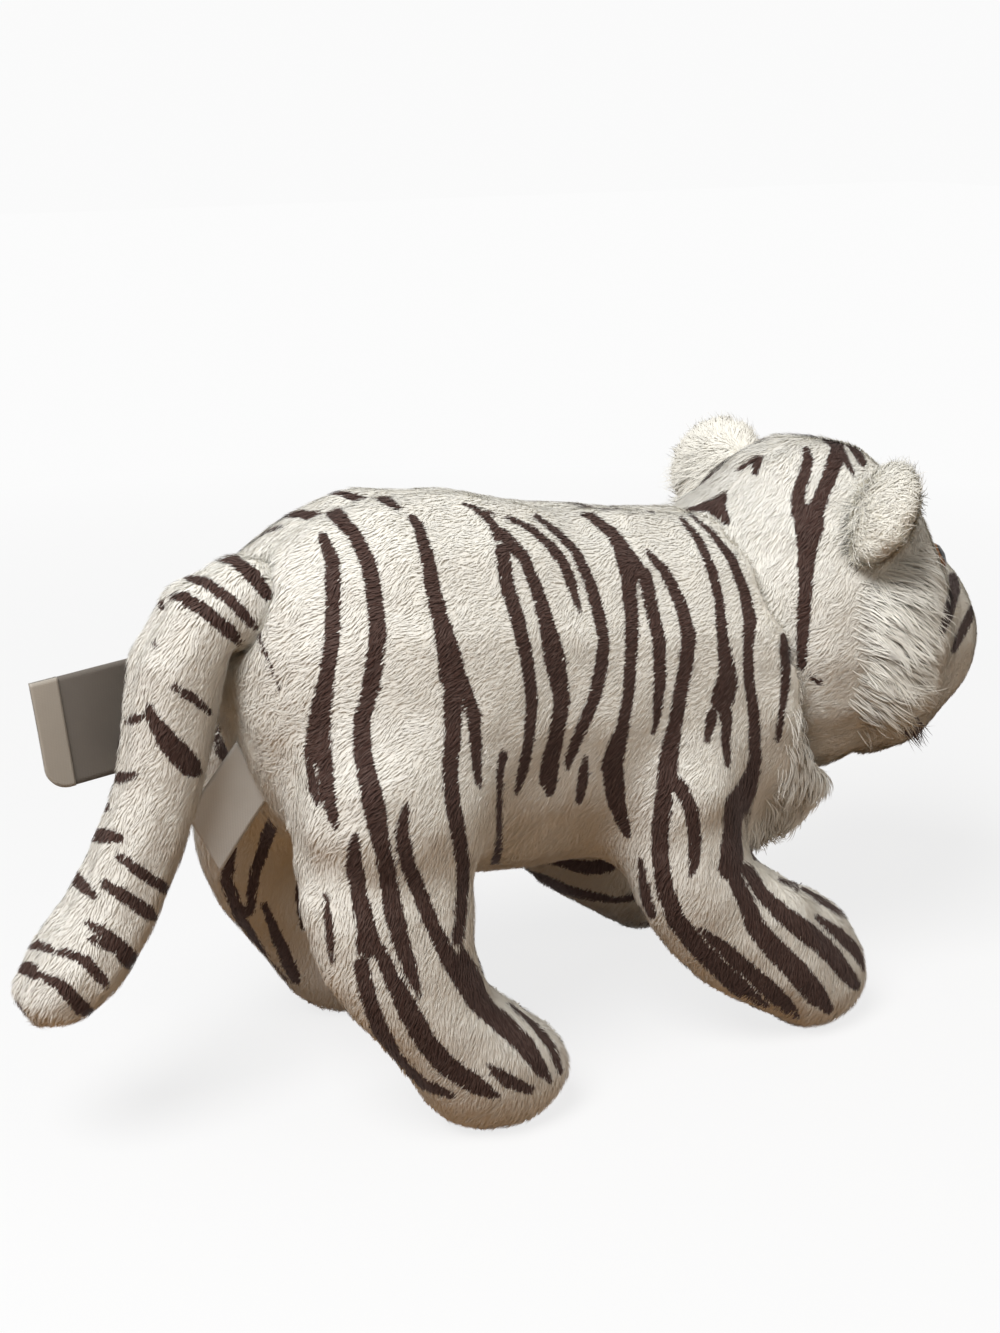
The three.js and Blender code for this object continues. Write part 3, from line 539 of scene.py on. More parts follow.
def ripple(points, size, seed, waves=5):
    """Smooth made-up hills over space, about -1 to 1, a size apart."""
    rng = np.random.default_rng(seed)
    total = np.zeros(len(points))
    for _ in range(waves):
        ahead = rng.normal(size=3)
        ahead *= 2 * math.pi / size / np.linalg.norm(ahead) * rng.uniform(0.7, 1.4)
        total += np.sin(points @ ahead + rng.uniform(0, 2 * math.pi))
    return total / math.sqrt(waves)


def drift(points, size, seed):
    """A made-up direction at each point, that changes smoothly."""
    return np.stack([ripple(points, size, seed + i, 4) for i in range(3)], 1)


def unit(vectors):
    return vectors / np.maximum(np.linalg.norm(vectors, axis=1, keepdims=True), 1e-9)


def print_gap(points, strokes):
    """How far points stand outside the print's strokes, in the photograph's pixels: below 0 inside a stroke."""
    return stroke_gap(on_photo(points), strokes, NO_PRINT)


def stroke_gap(places, strokes, reach):
    """How far flat places stand outside strokes, up to a reach."""
    nearest = np.full(len(places), float(reach))
    for stroke in strokes:
        for (x0, y0, w0), (x1, y1, w1) in zip(stroke, stroke[1:]):
            margin = max(w0, w1) / 2 + reach
            close = (abs(places[:, 0] - (x0 + x1) / 2) < abs(x1 - x0) / 2 + margin) & (
                abs(places[:, 1] - (y0 + y1) / 2) < abs(y1 - y0) / 2 + margin
            )
            start, step = np.array((x0, y0)), np.array((x1 - x0, y1 - y0))
            arm = places[close] - start
            along = np.clip(arm @ step / (step @ step), 0, 1)
            gap = np.linalg.norm(arm - along[:, None] * step, axis=1) - (w0 + (w1 - w0) * along) / 2
            nearest[close] = np.minimum(nearest[close], gap)
    return nearest


def mesh_arrays(mesh):
    verts = np.empty(len(mesh.vertices) * 3)
    mesh.vertices.foreach_get("co", verts)
    mesh.calc_loop_triangles()
    faces = np.empty(len(mesh.loop_triangles) * 3, int)
    mesh.loop_triangles.foreach_get("vertices", faces)
    return verts.reshape(-1, 3), faces.reshape(-1, 3)


def node_tree(*names):
    """The nearest-point finder of some nodes of the frame."""
    verts, faces, start = [], [], 0
    for name in names:
        v, f = mesh_arrays(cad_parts[name].data)
        verts.append(v)
        faces.append(f + start)
        start += len(v)
    return BVHTree.FromPolygons(np.concatenate(verts).tolist(), np.concatenate(faces).tolist())


def reach_to(tree, points):
    return np.array([tree.find_nearest(Vector(p))[3] for p in points])


def settled(verts, faces, share, rounds):
    """Evens out a skin where the share is above 0, by drawing each corner towards the middle of its neighbours."""
    ends = np.concatenate((faces[:, [0, 1]], faces[:, [1, 2]], faces[:, [2, 0]]))
    start, end = np.concatenate((ends, ends[:, ::-1])).T
    count = np.bincount(start, minlength=len(verts))[:, None]
    for _ in range(rounds):
        middle = np.stack([np.bincount(start, verts[end, i], len(verts)) for i in range(3)], 1) / count
        verts = verts + 0.6 * share[:, None] * (middle - verts)
    return verts


def vertex_normals(verts, faces):
    a, b, c = (verts[faces[:, i]] for i in range(3))
    flat = np.cross(b - a, c - a)
    total = np.zeros_like(verts)
    for i in range(3):
        np.add.at(total, faces[:, i], flat)
    return unit(total)


def main_island(verts, faces):
    """The largest connected part of a mesh, without what closed off inside it."""
    label = np.arange(len(verts))
    while True:
        low = label[faces].min(1)
        fresh = label.copy()
        for i in range(3):
            np.minimum.at(fresh, faces[:, i], low)
        fresh = fresh[fresh]
        if (fresh == label).all():
            break
        label = fresh
    kept = label[faces[:, 0]]
    most = np.bincount(kept).argmax()
    return only_used(verts, faces[kept == most])[:2]


def only_used(verts, faces):
    used, compact = np.unique(faces, return_inverse=True)
    return verts[used], compact.reshape(faces.shape), used


def stuffed(nodes, grain, bridge, relax):
    """The outer surface over some nodes, as one skin that spans their gaps, evened out in some rounds."""
    verts, faces, start = [], [], 0
    for name in nodes:
        v, f = mesh_arrays(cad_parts[name].data)
        verts.append(v)
        faces.append(f + start)
        start += len(v)
    mesh = bpy.data.meshes.new("skin_work")
    mesh.from_pydata(np.concatenate(verts).tolist(), [], np.concatenate(faces).tolist())
    worker = bpy.data.objects.new("skin_work", mesh)
    bpy.context.scene.collection.objects.link(worker)

    def remesh(size):
        modifier = worker.modifiers.new("skin", "REMESH")
        modifier.mode = "VOXEL"
        modifier.voxel_size = size

    def swell(distance):
        modifier = worker.modifiers.new("swell", "DISPLACE")
        modifier.strength = distance
        modifier.mid_level = 0

    remesh(grain)
    if bridge:
        swell(bridge)
        remesh(grain)
        swell(-bridge)
        remesh(grain)
    smooth = worker.modifiers.new("relax", "SMOOTH")
    smooth.factor = 0.5
    smooth.iterations = relax
    done = worker.evaluated_get(bpy.context.evaluated_depsgraph_get()).to_mesh()
    found = main_island(*mesh_arrays(done))
    bpy.data.objects.remove(worker)
    bpy.data.meshes.remove(mesh)
    return found


def round_map(verts, faces, middle, axis, stretch):
    """A flat map of a rounded form, for each corner of each face: round its axis, and from one end to the other."""
    turned = (verts - middle) / stretch
    others = [i for i in range(3) if i != axis]
    around = np.arctan2(turned[:, others[0]], turned[:, others[1]]) / (2 * math.pi) + 0.5
    from_end = np.arccos(np.clip(turned[:, axis] / np.maximum(np.linalg.norm(turned, axis=1), 1e-9), -1, 1)) / math.pi
    corners = around[faces]
    wraps = corners.max(1, keepdims=True) - corners.min(1, keepdims=True) > 0.5
    corners = np.where(wraps & (corners < 0.5), corners + 1, corners)
    return np.stack((corners * 0.88 + 0.005, from_end[faces] * 0.98 + 0.01), 2)


class Coat:
    """A piece's skin and all that grows on it, gathered as arrays and made into one mesh."""

    def __init__(self, verts, faces, middle, axis, stretch):
        self.verts, self.faces = verts, faces
        self.normals = vertex_normals(verts, faces)
        self.map = round_map(verts, faces, np.array(middle), axis, np.array(stretch))
        self.gap = np.full(len(verts), NO_PRINT)
        self.parts = []
        self.blade_rng = np.random.default_rng(len(verts))

    def roots(self, per_square, allowed=None):
        """Random places on the skin: the face of each, and its shares of the face's corners."""
        a, b, c = (self.verts[self.faces[:, i]] for i in range(3))
        area = np.linalg.norm(np.cross(b - a, c - a), axis=1) / 2 / MM**2
        wanted = area * per_square
        if allowed is not None:
            wanted = wanted * allowed[self.faces].mean(1)
        count = np.floor(wanted + self.blade_rng.random(len(wanted))).astype(int)
        face = np.repeat(np.arange(len(wanted)), count)
        u, v = self.blade_rng.random((2, len(face)))
        over = u + v > 1
        u, v = np.where(over, 1 - u, u), np.where(over, 1 - v, v)
        return face, np.stack((1 - u - v, u, v), 1)

    def at(self, values, face, shares):
        return np.einsum("ij,ij...->i...", shares, values[self.faces[face]])

    def pile(self, root_set, comb, length, width, lean, stripe, spread=0.13):
        """Short tufts, each a small pointed leaf that lies with the comb and is rounded across by its normals."""
        face, shares = root_set
        rng = self.blade_rng
        count = len(face)
        base = self.at(self.verts, face, shares)
        normal = unit(self.at(self.normals, face, shares))
        comb = unit(comb) + spread * rng.normal(size=(count, 3))
        flat = unit(comb - np.sum(comb * normal, 1, keepdims=True) * normal)
        side = np.cross(flat, normal)
        bend = (lean + rng.normal(0, 0.05, count)).clip(0.3, 1.5)[:, None]
        length = (length * rng.uniform(0.75, 1.2, count))[:, None]
        ahead = normal * np.cos(bend) + flat * np.sin(bend)
        half = width * rng.uniform(0.75, 1.2, count)[:, None] / 2
        waist = base + ahead * length * 0.4 + normal * 0.08 * MM
        tip = base + ahead * length * 0.8 + flat * length * 0.2
        verts = np.stack((base - normal * 0.15 * MM, waist - side * half, waist + side * half, tip), 1)
        sway = rng.normal(0, 0.07, (count, 1))
        shine = [
            normal - flat * 0.1, normal - side * (0.16 - sway), normal + side * (0.16 + sway), normal + flat * 0.15
        ]
        jitter = 0.2 * MM * rng.normal(size=(count, 3))
        at_waist, at_tip = (stripe(place + jitter, face) for place in (waist, tip))
        gap = np.stack((at_waist, at_waist, at_waist, at_tip), 1)
        self.add(verts, ((0, 2, 1), (1, 2, 3)), (0.0, 0.55, 0.55, 1.0), np.stack([unit(n) for n in shine], 1), gap,
                 face, shares, ((0, -1), (-1, 0), (1, 0), (0, 1.6)))

    def hair(self, root_set, comb, length, width, lean, steps=4, droop=0.0, lock=2 * MM, pull=0.55, spread=0.2,
             stain=NO_PRINT):
        """Long hairs, each three-sided and tapered: they rise, lean with the comb, droop and gather in locks."""
        face, shares = root_set
        rng = self.blade_rng
        count = len(face)
        base = self.at(self.verts, face, shares)
        normal = unit(self.at(self.normals, face, shares))
        comb = unit(comb) + spread * rng.normal(size=(count, 3))
        flat = unit(comb - 0.8 * np.sum(comb * normal, 1, keepdims=True) * normal)
        length = length * rng.uniform(0.6, 1.15, count)
        lean = (lean + rng.normal(0, 0.12, count)).clip(0.05, 1.5)
        spine = [base - normal * 0.2 * MM]
        ups = np.linspace(0, 1, steps + 1)[1:]
        for up in ups:
            bend = lean * (0.75 + 0.35 * up)
            ahead = normal * np.cos(bend)[:, None] + flat * np.sin(bend)[:, None]
            here = base + ahead * (length * up)[:, None]
            here[:, 2] -= droop * length * up**2
            spine.append(here)
        key = np.floor(base / lock + 0.3 * drift(base, 4 * lock, 91)).astype(int)
        _, group = np.unique(key, axis=0, return_inverse=True)
        group = group.ravel()
        tips = np.zeros((group.max() + 1, 3))
        np.add.at(tips, group, spine[-1])
        tips /= np.bincount(group)[:, None]
        gather = (tips[group] - spine[-1]) * pull * rng.uniform(0.6, 1.1, count)[:, None]
        for i, up in enumerate(ups, 1):
            spine[i] = spine[i] + gather * up**1.4
        half = width * rng.uniform(0.7, 1.2, count)[:, None] / 2
        side = unit(np.cross(spine[-1] - base, normal) + 1e-6)
        up_axis = unit(np.cross(side, spine[-1] - base))
        rows, shine = [], []
        for i in range(steps):
            narrow = (1 - i / steps) ** 0.7
            for turn in (0, 1, 2):
                angle = math.pi / 2 + turn * 2 * math.pi / 3
                out = side * math.cos(angle) + up_axis * math.sin(angle)
                rows.append(spine[i] + out * half * narrow)
                shine.append(unit(out * 0.35 + normal * 0.8 + (0, 0, 0.35)))
        rows.append(spine[-1])
        shine.append(unit(normal * 0.8 + up_axis * 0.3 + (0, 0, 0.35)))
        faces = []
        for i in range(steps - 1):
            for turn in (0, 1, 2):
                a, b = 3 * i + turn, 3 * i + (turn + 1) % 3
                faces += [(a, b + 3, b), (a, a + 3, b + 3)]
        last = 3 * (steps - 1)
        faces += [(last + turn, 3 * steps, last + (turn + 1) % 3) for turn in (0, 1, 2)]
        rise = [i / steps for i in range(steps) for _ in range(3)] + [1.0]
        flat_map = [(turn - 1, 2 * i / steps) for i in range(steps) for turn in (0, 1, 2)] + [(0, 2.2)]
        gap = np.full((count, 3 * steps + 1), stain)
        self.add(np.stack(rows, 1), faces, rise, np.stack(shine, 1), gap, face, shares, flat_map)

    def add(self, verts, faces, rise, shine, gap, face, shares, flat_map, reach=0.0011):
        """Keeps the arrays of one growth: every tuft has the same corners, and its own place on the flat map."""
        count, per = verts.shape[:2]
        middle = np.einsum("ij,ijk->ik", shares, self.map[face])
        self.parts.append(
            {
                "verts": verts.reshape(-1, 3),
                "faces": (np.array(faces)[None] + (np.arange(count) * per)[:, None, None]).reshape(-1, 3),
                "rise": np.tile(rise, count),
                "tuft": np.repeat(self.blade_rng.random(count), per),
                "print_gap": gap.ravel(),
                "normal": shine.reshape(-1, 3),
                "map": (middle[:, None] + np.array(flat_map, float)[None] * reach).reshape(-1, 2),
            }
        )

    def sewn(self, name, finish):
        """The mesh object of the skin and its pile."""
        verts = [self.verts] + [p["verts"] for p in self.parts]
        starts = np.cumsum([0] + [len(v) for v in verts])
        faces = [self.faces] + [p["faces"] + starts[i + 1] for i, p in enumerate(self.parts)]
        corners = [self.map.reshape(-1, 2)] + [p["map"][p["faces"].ravel()] for p in self.parts]
        normals = np.concatenate([self.normals] + [p["normal"] for p in self.parts])
        verts, faces, corners = (np.concatenate(x) for x in (verts, faces, corners))
        mesh = bpy.data.meshes.new(name)
        mesh.vertices.add(len(verts))
        mesh.vertices.foreach_set("co", verts.ravel())
        mesh.loops.add(faces.size)
        mesh.loops.foreach_set("vertex_index", faces.ravel().astype(np.int32))
        mesh.polygons.add(len(faces))
        mesh.polygons.foreach_set("loop_start", np.arange(0, faces.size, 3, dtype=np.int32))
        mesh.polygons.foreach_set("loop_total", np.full(len(faces), 3, np.int32))
        mesh.update(calc_edges=True)
        mesh.uv_layers.new(name="OFBake").data.foreach_set("uv", np.clip(corners, 0.001, 0.999).ravel())
        count = len(self.verts)
        # painted shade: the skin under the pile takes mostly the darker root colour
        of_skin = {"rise": np.full(count, 0.25), "tuft": np.full(count, 0.4), "print_gap": self.gap}
        for key, start in of_skin.items():
            values = np.concatenate([start] + [p[key] for p in self.parts]).astype(np.float32)
            mesh.attributes.new(key, "FLOAT", "POINT").data.foreach_set("value", values)
        mesh.shade_smooth()
        mesh.validate()  # before the normals, which a broken face would crash
        mesh.normals_split_custom_set_from_vertices(normals.tolist())
        mesh.materials.append(finish)
        piece = bpy.data.objects.new(name, mesh)
        bpy.context.scene.collection.objects.link(piece)
        return piece


def facing(points, normals):
    """How much a surface at points is turned to the matched camera, from -1 to 1."""
    return np.sum(normals * unit(np.array(photo_axes()[0]) - points), 1)


def hidden_bands(points, pitch=11 * MM):
    """The gap to made-up stripes for the sides that the photograph doesn't show: tapered bands, one over another."""
    phase = points[:, 2] / pitch + 0.3 * ripple(points, 45 * MM, 81) + 0.07 * ripple(points, 16 * MM, 82)
    share = 0.13 + 0.08 * ripple(points, 26 * MM, 83)
    share = share - 0.4 * eased(points[:, 2], 44 * MM, 56 * MM)
    from_middle = abs(phase - np.floor(phase) - 0.5)
    return np.clip((from_middle - share) * pitch * PIXELS_PER_METRE, -NO_PRINT, NO_PRINT)


def face_gap(points):
    """The gap to the stripes and the mouth of the face, drawn on both sides alike."""
    return stroke_gap(np.stack((abs(points[:, 1]), points[:, 2]), 1) / MM, FACE_STRIPES, 1.4) * PIXELS_PER_METRE * MM


def joined(shown, seen_gap, hidden_gap, edge=0.16, taper=0.12):
    """The print that the photograph shows where a surface is turned to it, and the made-up print elsewhere."""
    thinning = 5 * np.clip(1 - abs(shown - edge) / taper, 0, 1)
    return np.where(shown > edge, seen_gap, hidden_gap) + thinning


def mirrored(points, shift=5 * MM):
    """Points of the left side where the right side's print is read, a little along, so that the seam shows."""
    folded = points.copy()
    left = points[:, 1] > 0
    folded[left, 1] *= -1
    folded[left, 0] += shift
    return folded


# ---- pieces ----

TORSO_NODES = ("body_side_right", "body_side_left", "belly_gusset", "chest_fur")
# each leg's place along, and the heights between which its cloth turns with the leg
LEGS = {"hind": (-63.96 * MM + AHEAD, 92 * MM, 56 * MM), "front": (10.47 * MM + AHEAD, 84 * MM, 50 * MM)}


def leg_nodes(leg, side):
    return tuple(f"{leg}_leg_{side}_{part}" for part in ("outer", "inner", "filling"))


def closed(verts, faces):
    """The mesh with its open rims filled by flat fans from each rim's middle."""
    edges = np.concatenate((faces[:, [0, 1]], faces[:, [1, 2]], faces[:, [2, 0]]))
    keys = {tuple(e) for e in edges.tolist()}
    after = {b: a for a, b in keys if (b, a) not in keys}
    fans = []
    extra = []
    while after:
        start = next(iter(after))
        loop, here = [], start
        while here in after:
            loop.append(here)
            here = after.pop(here)
        middle = len(verts) + len(extra)
        extra.append(verts[loop].mean(0))
        fans += [(loop[i], loop[(i + 1) % len(loop)], middle) for i in range(len(loop))]
    if not fans:
        return verts, faces
    return np.concatenate((verts, np.array(extra))), np.concatenate((faces, np.array(fans)))


def stripes_of(leg):
    return BARREL_STRIPES + (HIND_STRIPES if leg == "hind" else FRONT_STRIPES)


def sink(verts, normals, depth):
    return verts - normals * depth[:, None]


def eased(values, low, high):
    share = np.clip((values - low) / (high - low), 0, 1)
    return share * share * (3 - 2 * share)


def chest_share(points, whole_at, gone_at):
    """1 on the chest and 0 behind and above it: whole ahead of one place, and gone above a height."""
    return eased(points[:, 0], CHEST_START, whole_at) * eased(-points[:, 2], -gone_at, -CHEST_LEVEL)


def unprinted(points, _):
    """The gap to the print where there is none."""
    return np.full(len(points), NO_PRINT)


def choices(context):
    """The user's sizes and colours: of the sewing, the pile and the colours."""
    return [getattr(context.scene, group) for group in GROUPS]


def outward_lumps(verts, normals, lump):
    hills = ripple(verts, 26 * MM, 11) * 0.6 + ripple(verts, 11 * MM, 21) * 0.2
    return verts + normals * (hills * lump)[:, None]


def seam_groove(verts, normals, depth=0.6 * MM, half=1.5 * MM):
    """Draws the cloth in along the seam over the middle."""
    return verts - normals * (depth * np.exp(-((verts[:, 1] / half) ** 2)))[:, None]


class PLUSHTIGER_OT_body(bpy.types.Operator):
    """Makes the torso and the four legs, under one pattern of stripes"""

    bl_idname = "plushtiger.body"
    bl_label = "Torso and legs"

    def execute(self, context):
        sewing, pile, colours = choices(context)
        finish = printed_finish("striped_plush", colours)
        legs = [(leg, side, way) for leg in LEGS for side, way in SIDES]
        every = TORSO_NODES + ("body_filling",) + sum((leg_nodes(leg, side) for leg, side, _ in legs), ())
        verts, faces = stuffed(every, sewing.grain, sewing.bridge, 8)
        normals = vertex_normals(verts, faces)
        to_torso = reach_to(node_tree(*TORSO_NODES), verts)
        to_leg = {
            (leg, side): reach_to(node_tree(*leg_nodes(leg, side)[:2]), verts) for leg, side, _ in legs
        }
        nearest_leg = np.min(list(to_leg.values()), axis=0)
        lead = to_torso - nearest_leg  # above 0 on a leg
        white_torso = reach_to(node_tree("belly_gusset", "chest_fur"), verts) < reach_to(
            node_tree("body_side_right", "body_side_left"), verts
        )
        verts = settled(verts, faces, 1 - eased(abs(lead), 4 * MM, 14 * MM), 40)
        verts[:, 0] -= CHEST_BACK * chest_share(verts, 50 * MM + AHEAD, 96 * MM)
        normals = vertex_normals(verts, faces)
        verts = seam_groove(outward_lumps(verts, normals, sewing.lump), normals)

        def piece(name, own, white, strokes):
            """One piece of the common skin: what is within the overlap of its own side of the creases."""
            kept = own > -sewing.overlap
            chosen = faces[kept[faces].all(1)]
            depth = eased(-own, 0, sewing.overlap * 0.75) * sewing.crease
            shape = sink(verts, normals, depth)
            small, chosen, used = only_used(shape, chosen)
            rim = len(small)
            small, chosen = closed(small, chosen)
            middle = (small.max(0) + small.min(0)) / 2
            size = (small.max(0) - small.min(0)) / 2
            axis = 0 if name == "torso_skin" else 2
            coat = Coat(small, chosen, middle, axis, size)
            bare = np.append(white[used], np.zeros(len(small) - rim, bool))

            def print_of(points, out, is_bare):
                gap = print_gap(mirrored(points), strokes)
                if name.startswith(("hind", "front")):
                    away = np.array((1, -1, 1))
                    shown, turned = facing(points, out), facing(points * away, out * away)
                    near = points[:, 1] < 0
                    hidden = hidden_bands(points)
                    if name.startswith("hind"):
                        far_places = np.where(near[:, None], points * away, points)
                        far_gap = print_gap(far_places, INNER_HIND_STRIPES)
                        hidden = joined(np.where(near, turned, shown), far_gap, hidden)
                    gap = joined(np.where(near, shown, np.where(shown > 0, -1, turned)), gap, hidden)
                return np.where(is_bare, NO_PRINT, gap)

            coat.gap = print_of(small, coat.normals, bare)
            open_air = np.append((own[used] > -0.35 * sewing.overlap).astype(float), np.zeros(len(small) - rim))
            roots = coat.roots(pile.per_square, open_air)

            def print_at(points, face):
                corners = chosen[face]
                return print_of(points, coat.normals[corners].mean(1), bare[corners].mean(1) > 0.5)

            base = coat.at(small, *roots)
            comb = comb_of(base) + 0.28 * drift(base, 8 * MM, 31)
            length = pile.length * (1 + 0.12 * ripple(base, 4 * MM, 32))
            coat.pile(roots, comb, length, pile.width, pile.lean, print_at)
            if name == "torso_skin":
                roots = coat.roots(1.3, open_air * chest_share(small, 44 * MM + AHEAD, 94 * MM))
                base = coat.at(small, *roots)
                comb = np.stack((0.25 * np.ones(len(base)), 0.2 * np.sign(base[:, 1]), -np.ones(len(base))), 1)
                comb += 0.25 * drift(base, 9 * MM, 33)
                coat.hair(roots, comb, pile.chest, 0.32 * MM, lean=1.5, lock=2.6 * MM, pull=0.7, spread=0.12)
            return coat.sewn(name, finish)

        torso = piece("torso_skin", -lead, white_torso, BARREL_STRIPES + HIND_STRIPES + FRONT_STRIPES)
        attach(torso, "torso")
        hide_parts(*TORSO_NODES, "body_filling")
        for leg, side, _ in legs:
            own = np.where(to_leg[leg, side] <= nearest_leg + 1e-9, lead, -1.0)
            underneath = (normals[:, 2] < -0.6) & (verts[:, 2] < 16 * MM)
            made = piece(f"{leg}_leg_{side}_skin", own, underneath, stripes_of(leg))
            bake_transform(made)
            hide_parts(*leg_nodes(leg, side))
        return {"FINISHED"}


def comb_of(base):
    """The way that the pile lies: back on the torso, turning down towards the legs."""
    high = eased(base[:, 2], 58 * MM, 98 * MM)[:, None]
    return high * (-1.0, 0.0, -0.45) + (1 - high) * (-0.35, 0.0, -1.0)


class PLUSHTIGER_OT_head(bpy.types.Operator):
    """Makes the head with its muzzle, the cheek hair and the wad in the neck"""

    bl_idname = "plushtiger.head"
    bl_label = "Head"

    def execute(self, context):
        sewing, pile, colours = choices(context)
        finish = printed_finish("head_plush", colours)
        hair = pile_finish("long_hair", colours.hair, colours.hair_root_shade)
        names = ("head_side_right", "head_side_left", "head_centre_strip", "muzzle", "throat", "head_filling")
        verts, faces = stuffed(names, 1.4 * MM, 1.2 * MM, 8)
        normals = vertex_normals(verts, faces)
        throat = reach_to(node_tree("throat"), verts) < reach_to(node_tree(*names[:4]), verts)
        muzzle = reach_to(node_tree("muzzle"), verts) < reach_to(node_tree(*names[:3], "throat"), verts)
        verts = outward_lumps(verts, normals, sewing.lump * 0.7)
        middle = (65.1 * MM + AHEAD, 0, 94.5 * MM)
        coat = Coat(verts, faces, middle, 2, (1, 1, 1))

        def print_of(points, out, bare):
            toward = facing(mirrored(points, 0), np.where(points[:, 1:2] > 0, out * (1, -1, 1), out))
            ahead = (points[:, 0] > middle[0] + 6 * MM) & (out[:, 0] > 0)
            own = np.where(ahead, face_gap(points), NO_PRINT)
            seen_gap = print_gap(mirrored(points, 0), HEAD_STRIPES)
            return np.where(bare, NO_PRINT, joined(toward, seen_gap, own, edge=-0.02, taper=0.08))

        coat.gap = print_of(verts, coat.normals, throat)
        roots = coat.roots(pile.per_square * 1.1)
        base = coat.at(verts, *roots)
        comb = np.stack((-np.ones(len(base)), 0.4 * np.sign(base[:, 1]), -0.5 * np.ones(len(base))), 1)
        comb += 0.35 * drift(base, 6 * MM, 41)

        def print_at(base, face):
            corners = faces[face]
            return print_of(base, coat.normals[corners].mean(1), throat[corners].mean(1) > 0.5)

        on_muzzle = muzzle[faces[roots[0]]].mean(1)
        length = pile.length * (1.15 - 0.45 * on_muzzle)
        coat.pile(roots, comb, length, pile.width, pile.lean, print_at)
        to_ruff = reach_to(node_tree("cheek_ruff_right", "cheek_ruff_left"), verts)
        behind = 1 - eased(verts[:, 0], 72 * MM + AHEAD, 84 * MM + AHEAD)
        roots = coat.roots(1.6, (1 - eased(to_ruff, 2 * MM, 7 * MM)) * behind)
        base = coat.at(verts, *roots)
        comb = np.stack((np.ones(len(base)), 0.1 * np.sign(base[:, 1]), -0.75 * np.ones(len(base))), 1)
        comb += 0.35 * drift(base, 8 * MM, 51)
        coat.hair(roots, comb, 0.72 * pile.cheek, 0.34 * MM, lean=1.34, lock=3 * MM, pull=0.7)
        from_chin = np.abs(on_photo(verts) - CHIN_HAIRS).max(1)
        on_chin = (from_chin < CHIN_REACH) & (facing(verts, coat.normals) > 0.2)
        roots = coat.roots(1.4, on_chin.astype(float))
        comb = np.repeat([[0.7, -0.2, -1.0]], len(roots[0]), 0)
        coat.hair(roots, comb, 6 * MM, 0.3 * MM, lean=0.95, lock=9 * MM, pull=0.2, stain=-NO_PRINT)
        made = coat.sewn("head_skin", finish)
        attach(made, "head")
        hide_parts(*names)

        for side, way in SIDES:
            node = f"cheek_ruff_{side}"
            verts, faces = stuffed((node,), 0.9 * MM, 0, 4)
            verts = verts - np.array((3.0, 1.8 * way, 0)) * MM
            coat = Coat(verts, faces, verts.mean(0), 1, (1, 1, 1))
            outside = (coat.normals[:, 1] * way > -0.35).astype(float)
            roots = coat.roots(2.6, outside)
            base = coat.at(verts, *roots)
            comb = np.repeat([[1.0, 0.1 * way, -0.7]], len(base), 0) + 0.35 * drift(base, 8 * MM, 51)
            ahead = (base[:, 0] - verts[:, 0].min()) / np.ptp(verts[:, 0])
            length = pile.cheek * (0.5 + 0.5 * eased(ahead, 0, 0.4)) * (1 - 0.4 * eased(ahead, 0.6, 1))
            coat.hair(roots, comb, length, 0.36 * MM, lean=1.32, droop=0.03, lock=3 * MM, pull=0.85)
            made = coat.sewn(f"{node}_hair", hair)
            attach(made, "head")
            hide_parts(node)

        wad = fibre_finish("wadding", tone(236, 234, 228), tone(196, 192, 182))
        verts, faces = stuffed(("neck_filling",), 1.2 * MM, 0, 6)
        coat = Coat(verts, faces, verts.mean(0), 0, (1, 1, 1))
        made = coat.sewn("neck_wad", wad)
        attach(made, "neck")
        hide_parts("neck_filling")
        return {"FINISHED"}


def closeness(points, seat):
    """1 at an ear's seat and 0 past its lower third."""
    return 1 - eased(np.linalg.norm(points - seat, axis=1), 6 * MM, 14 * MM)


class PLUSHTIGER_OT_ears(bpy.types.Operator):
    """Makes the two ears, each of two panels with long hair"""

    bl_idname = "plushtiger.ears"
    bl_label = "Ears"

    def execute(self, context):
        _, pile, colours = choices(context)
        hair = pile_finish("ear_hair", colours.hair, colours.hair_root_shade)
        for side, way in SIDES:
            nodes = (f"ear_{side}_front", f"ear_{side}_back")
            verts, faces = stuffed(nodes, 0.9 * MM, 0.6 * MM, 8)
            seat = np.array((67.9 * MM + AHEAD, 32.2 * MM * way, 123.2 * MM))
            growth, shift, lean = EAR_FIT[side]
            above = np.maximum(verts[:, 2] - seat[2], 0)
            verts = seat + (verts - seat) * growth + np.array(shift) * MM
            verts += above[:, None] * lean
            coat = Coat(verts, faces, verts.mean(0), 0, (1, 1, 1))
            rise = np.array((0.09, 0.738 * way, 0.668))
            near_seat = closeness(verts, seat)

            def combed(base):
                close = closeness(base, seat)
                comb = unit(base - seat) + 0.5 * rise + 0.2 * drift(base, 6 * MM, 61)
                return comb + close[:, None] * np.array((-1.6, 0, -1.2))

            roots = coat.roots(3.6)
            base = coat.at(verts, *roots)
            coat.pile(roots, combed(base), 0.75 * pile.ear, 0.4 * MM, 1.4, unprinted, spread=0.2)
            roots = coat.roots(1.1, 0.6 + 0.4 * near_seat)
            base = coat.at(verts, *roots)
            length = pile.ear * (1 + 1.1 * closeness(base, seat))
            coat.hair(
                roots, combed(base), length, 0.2 * MM, lean=1.35, steps=3, droop=0.03, lock=2 * MM, pull=0.3,
                spread=0.25,
            )
            made = coat.sewn(f"ear_{side}_hair", hair)
            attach(made, f"ear_{side}")
            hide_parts(*nodes)
        return {"FINISHED"}


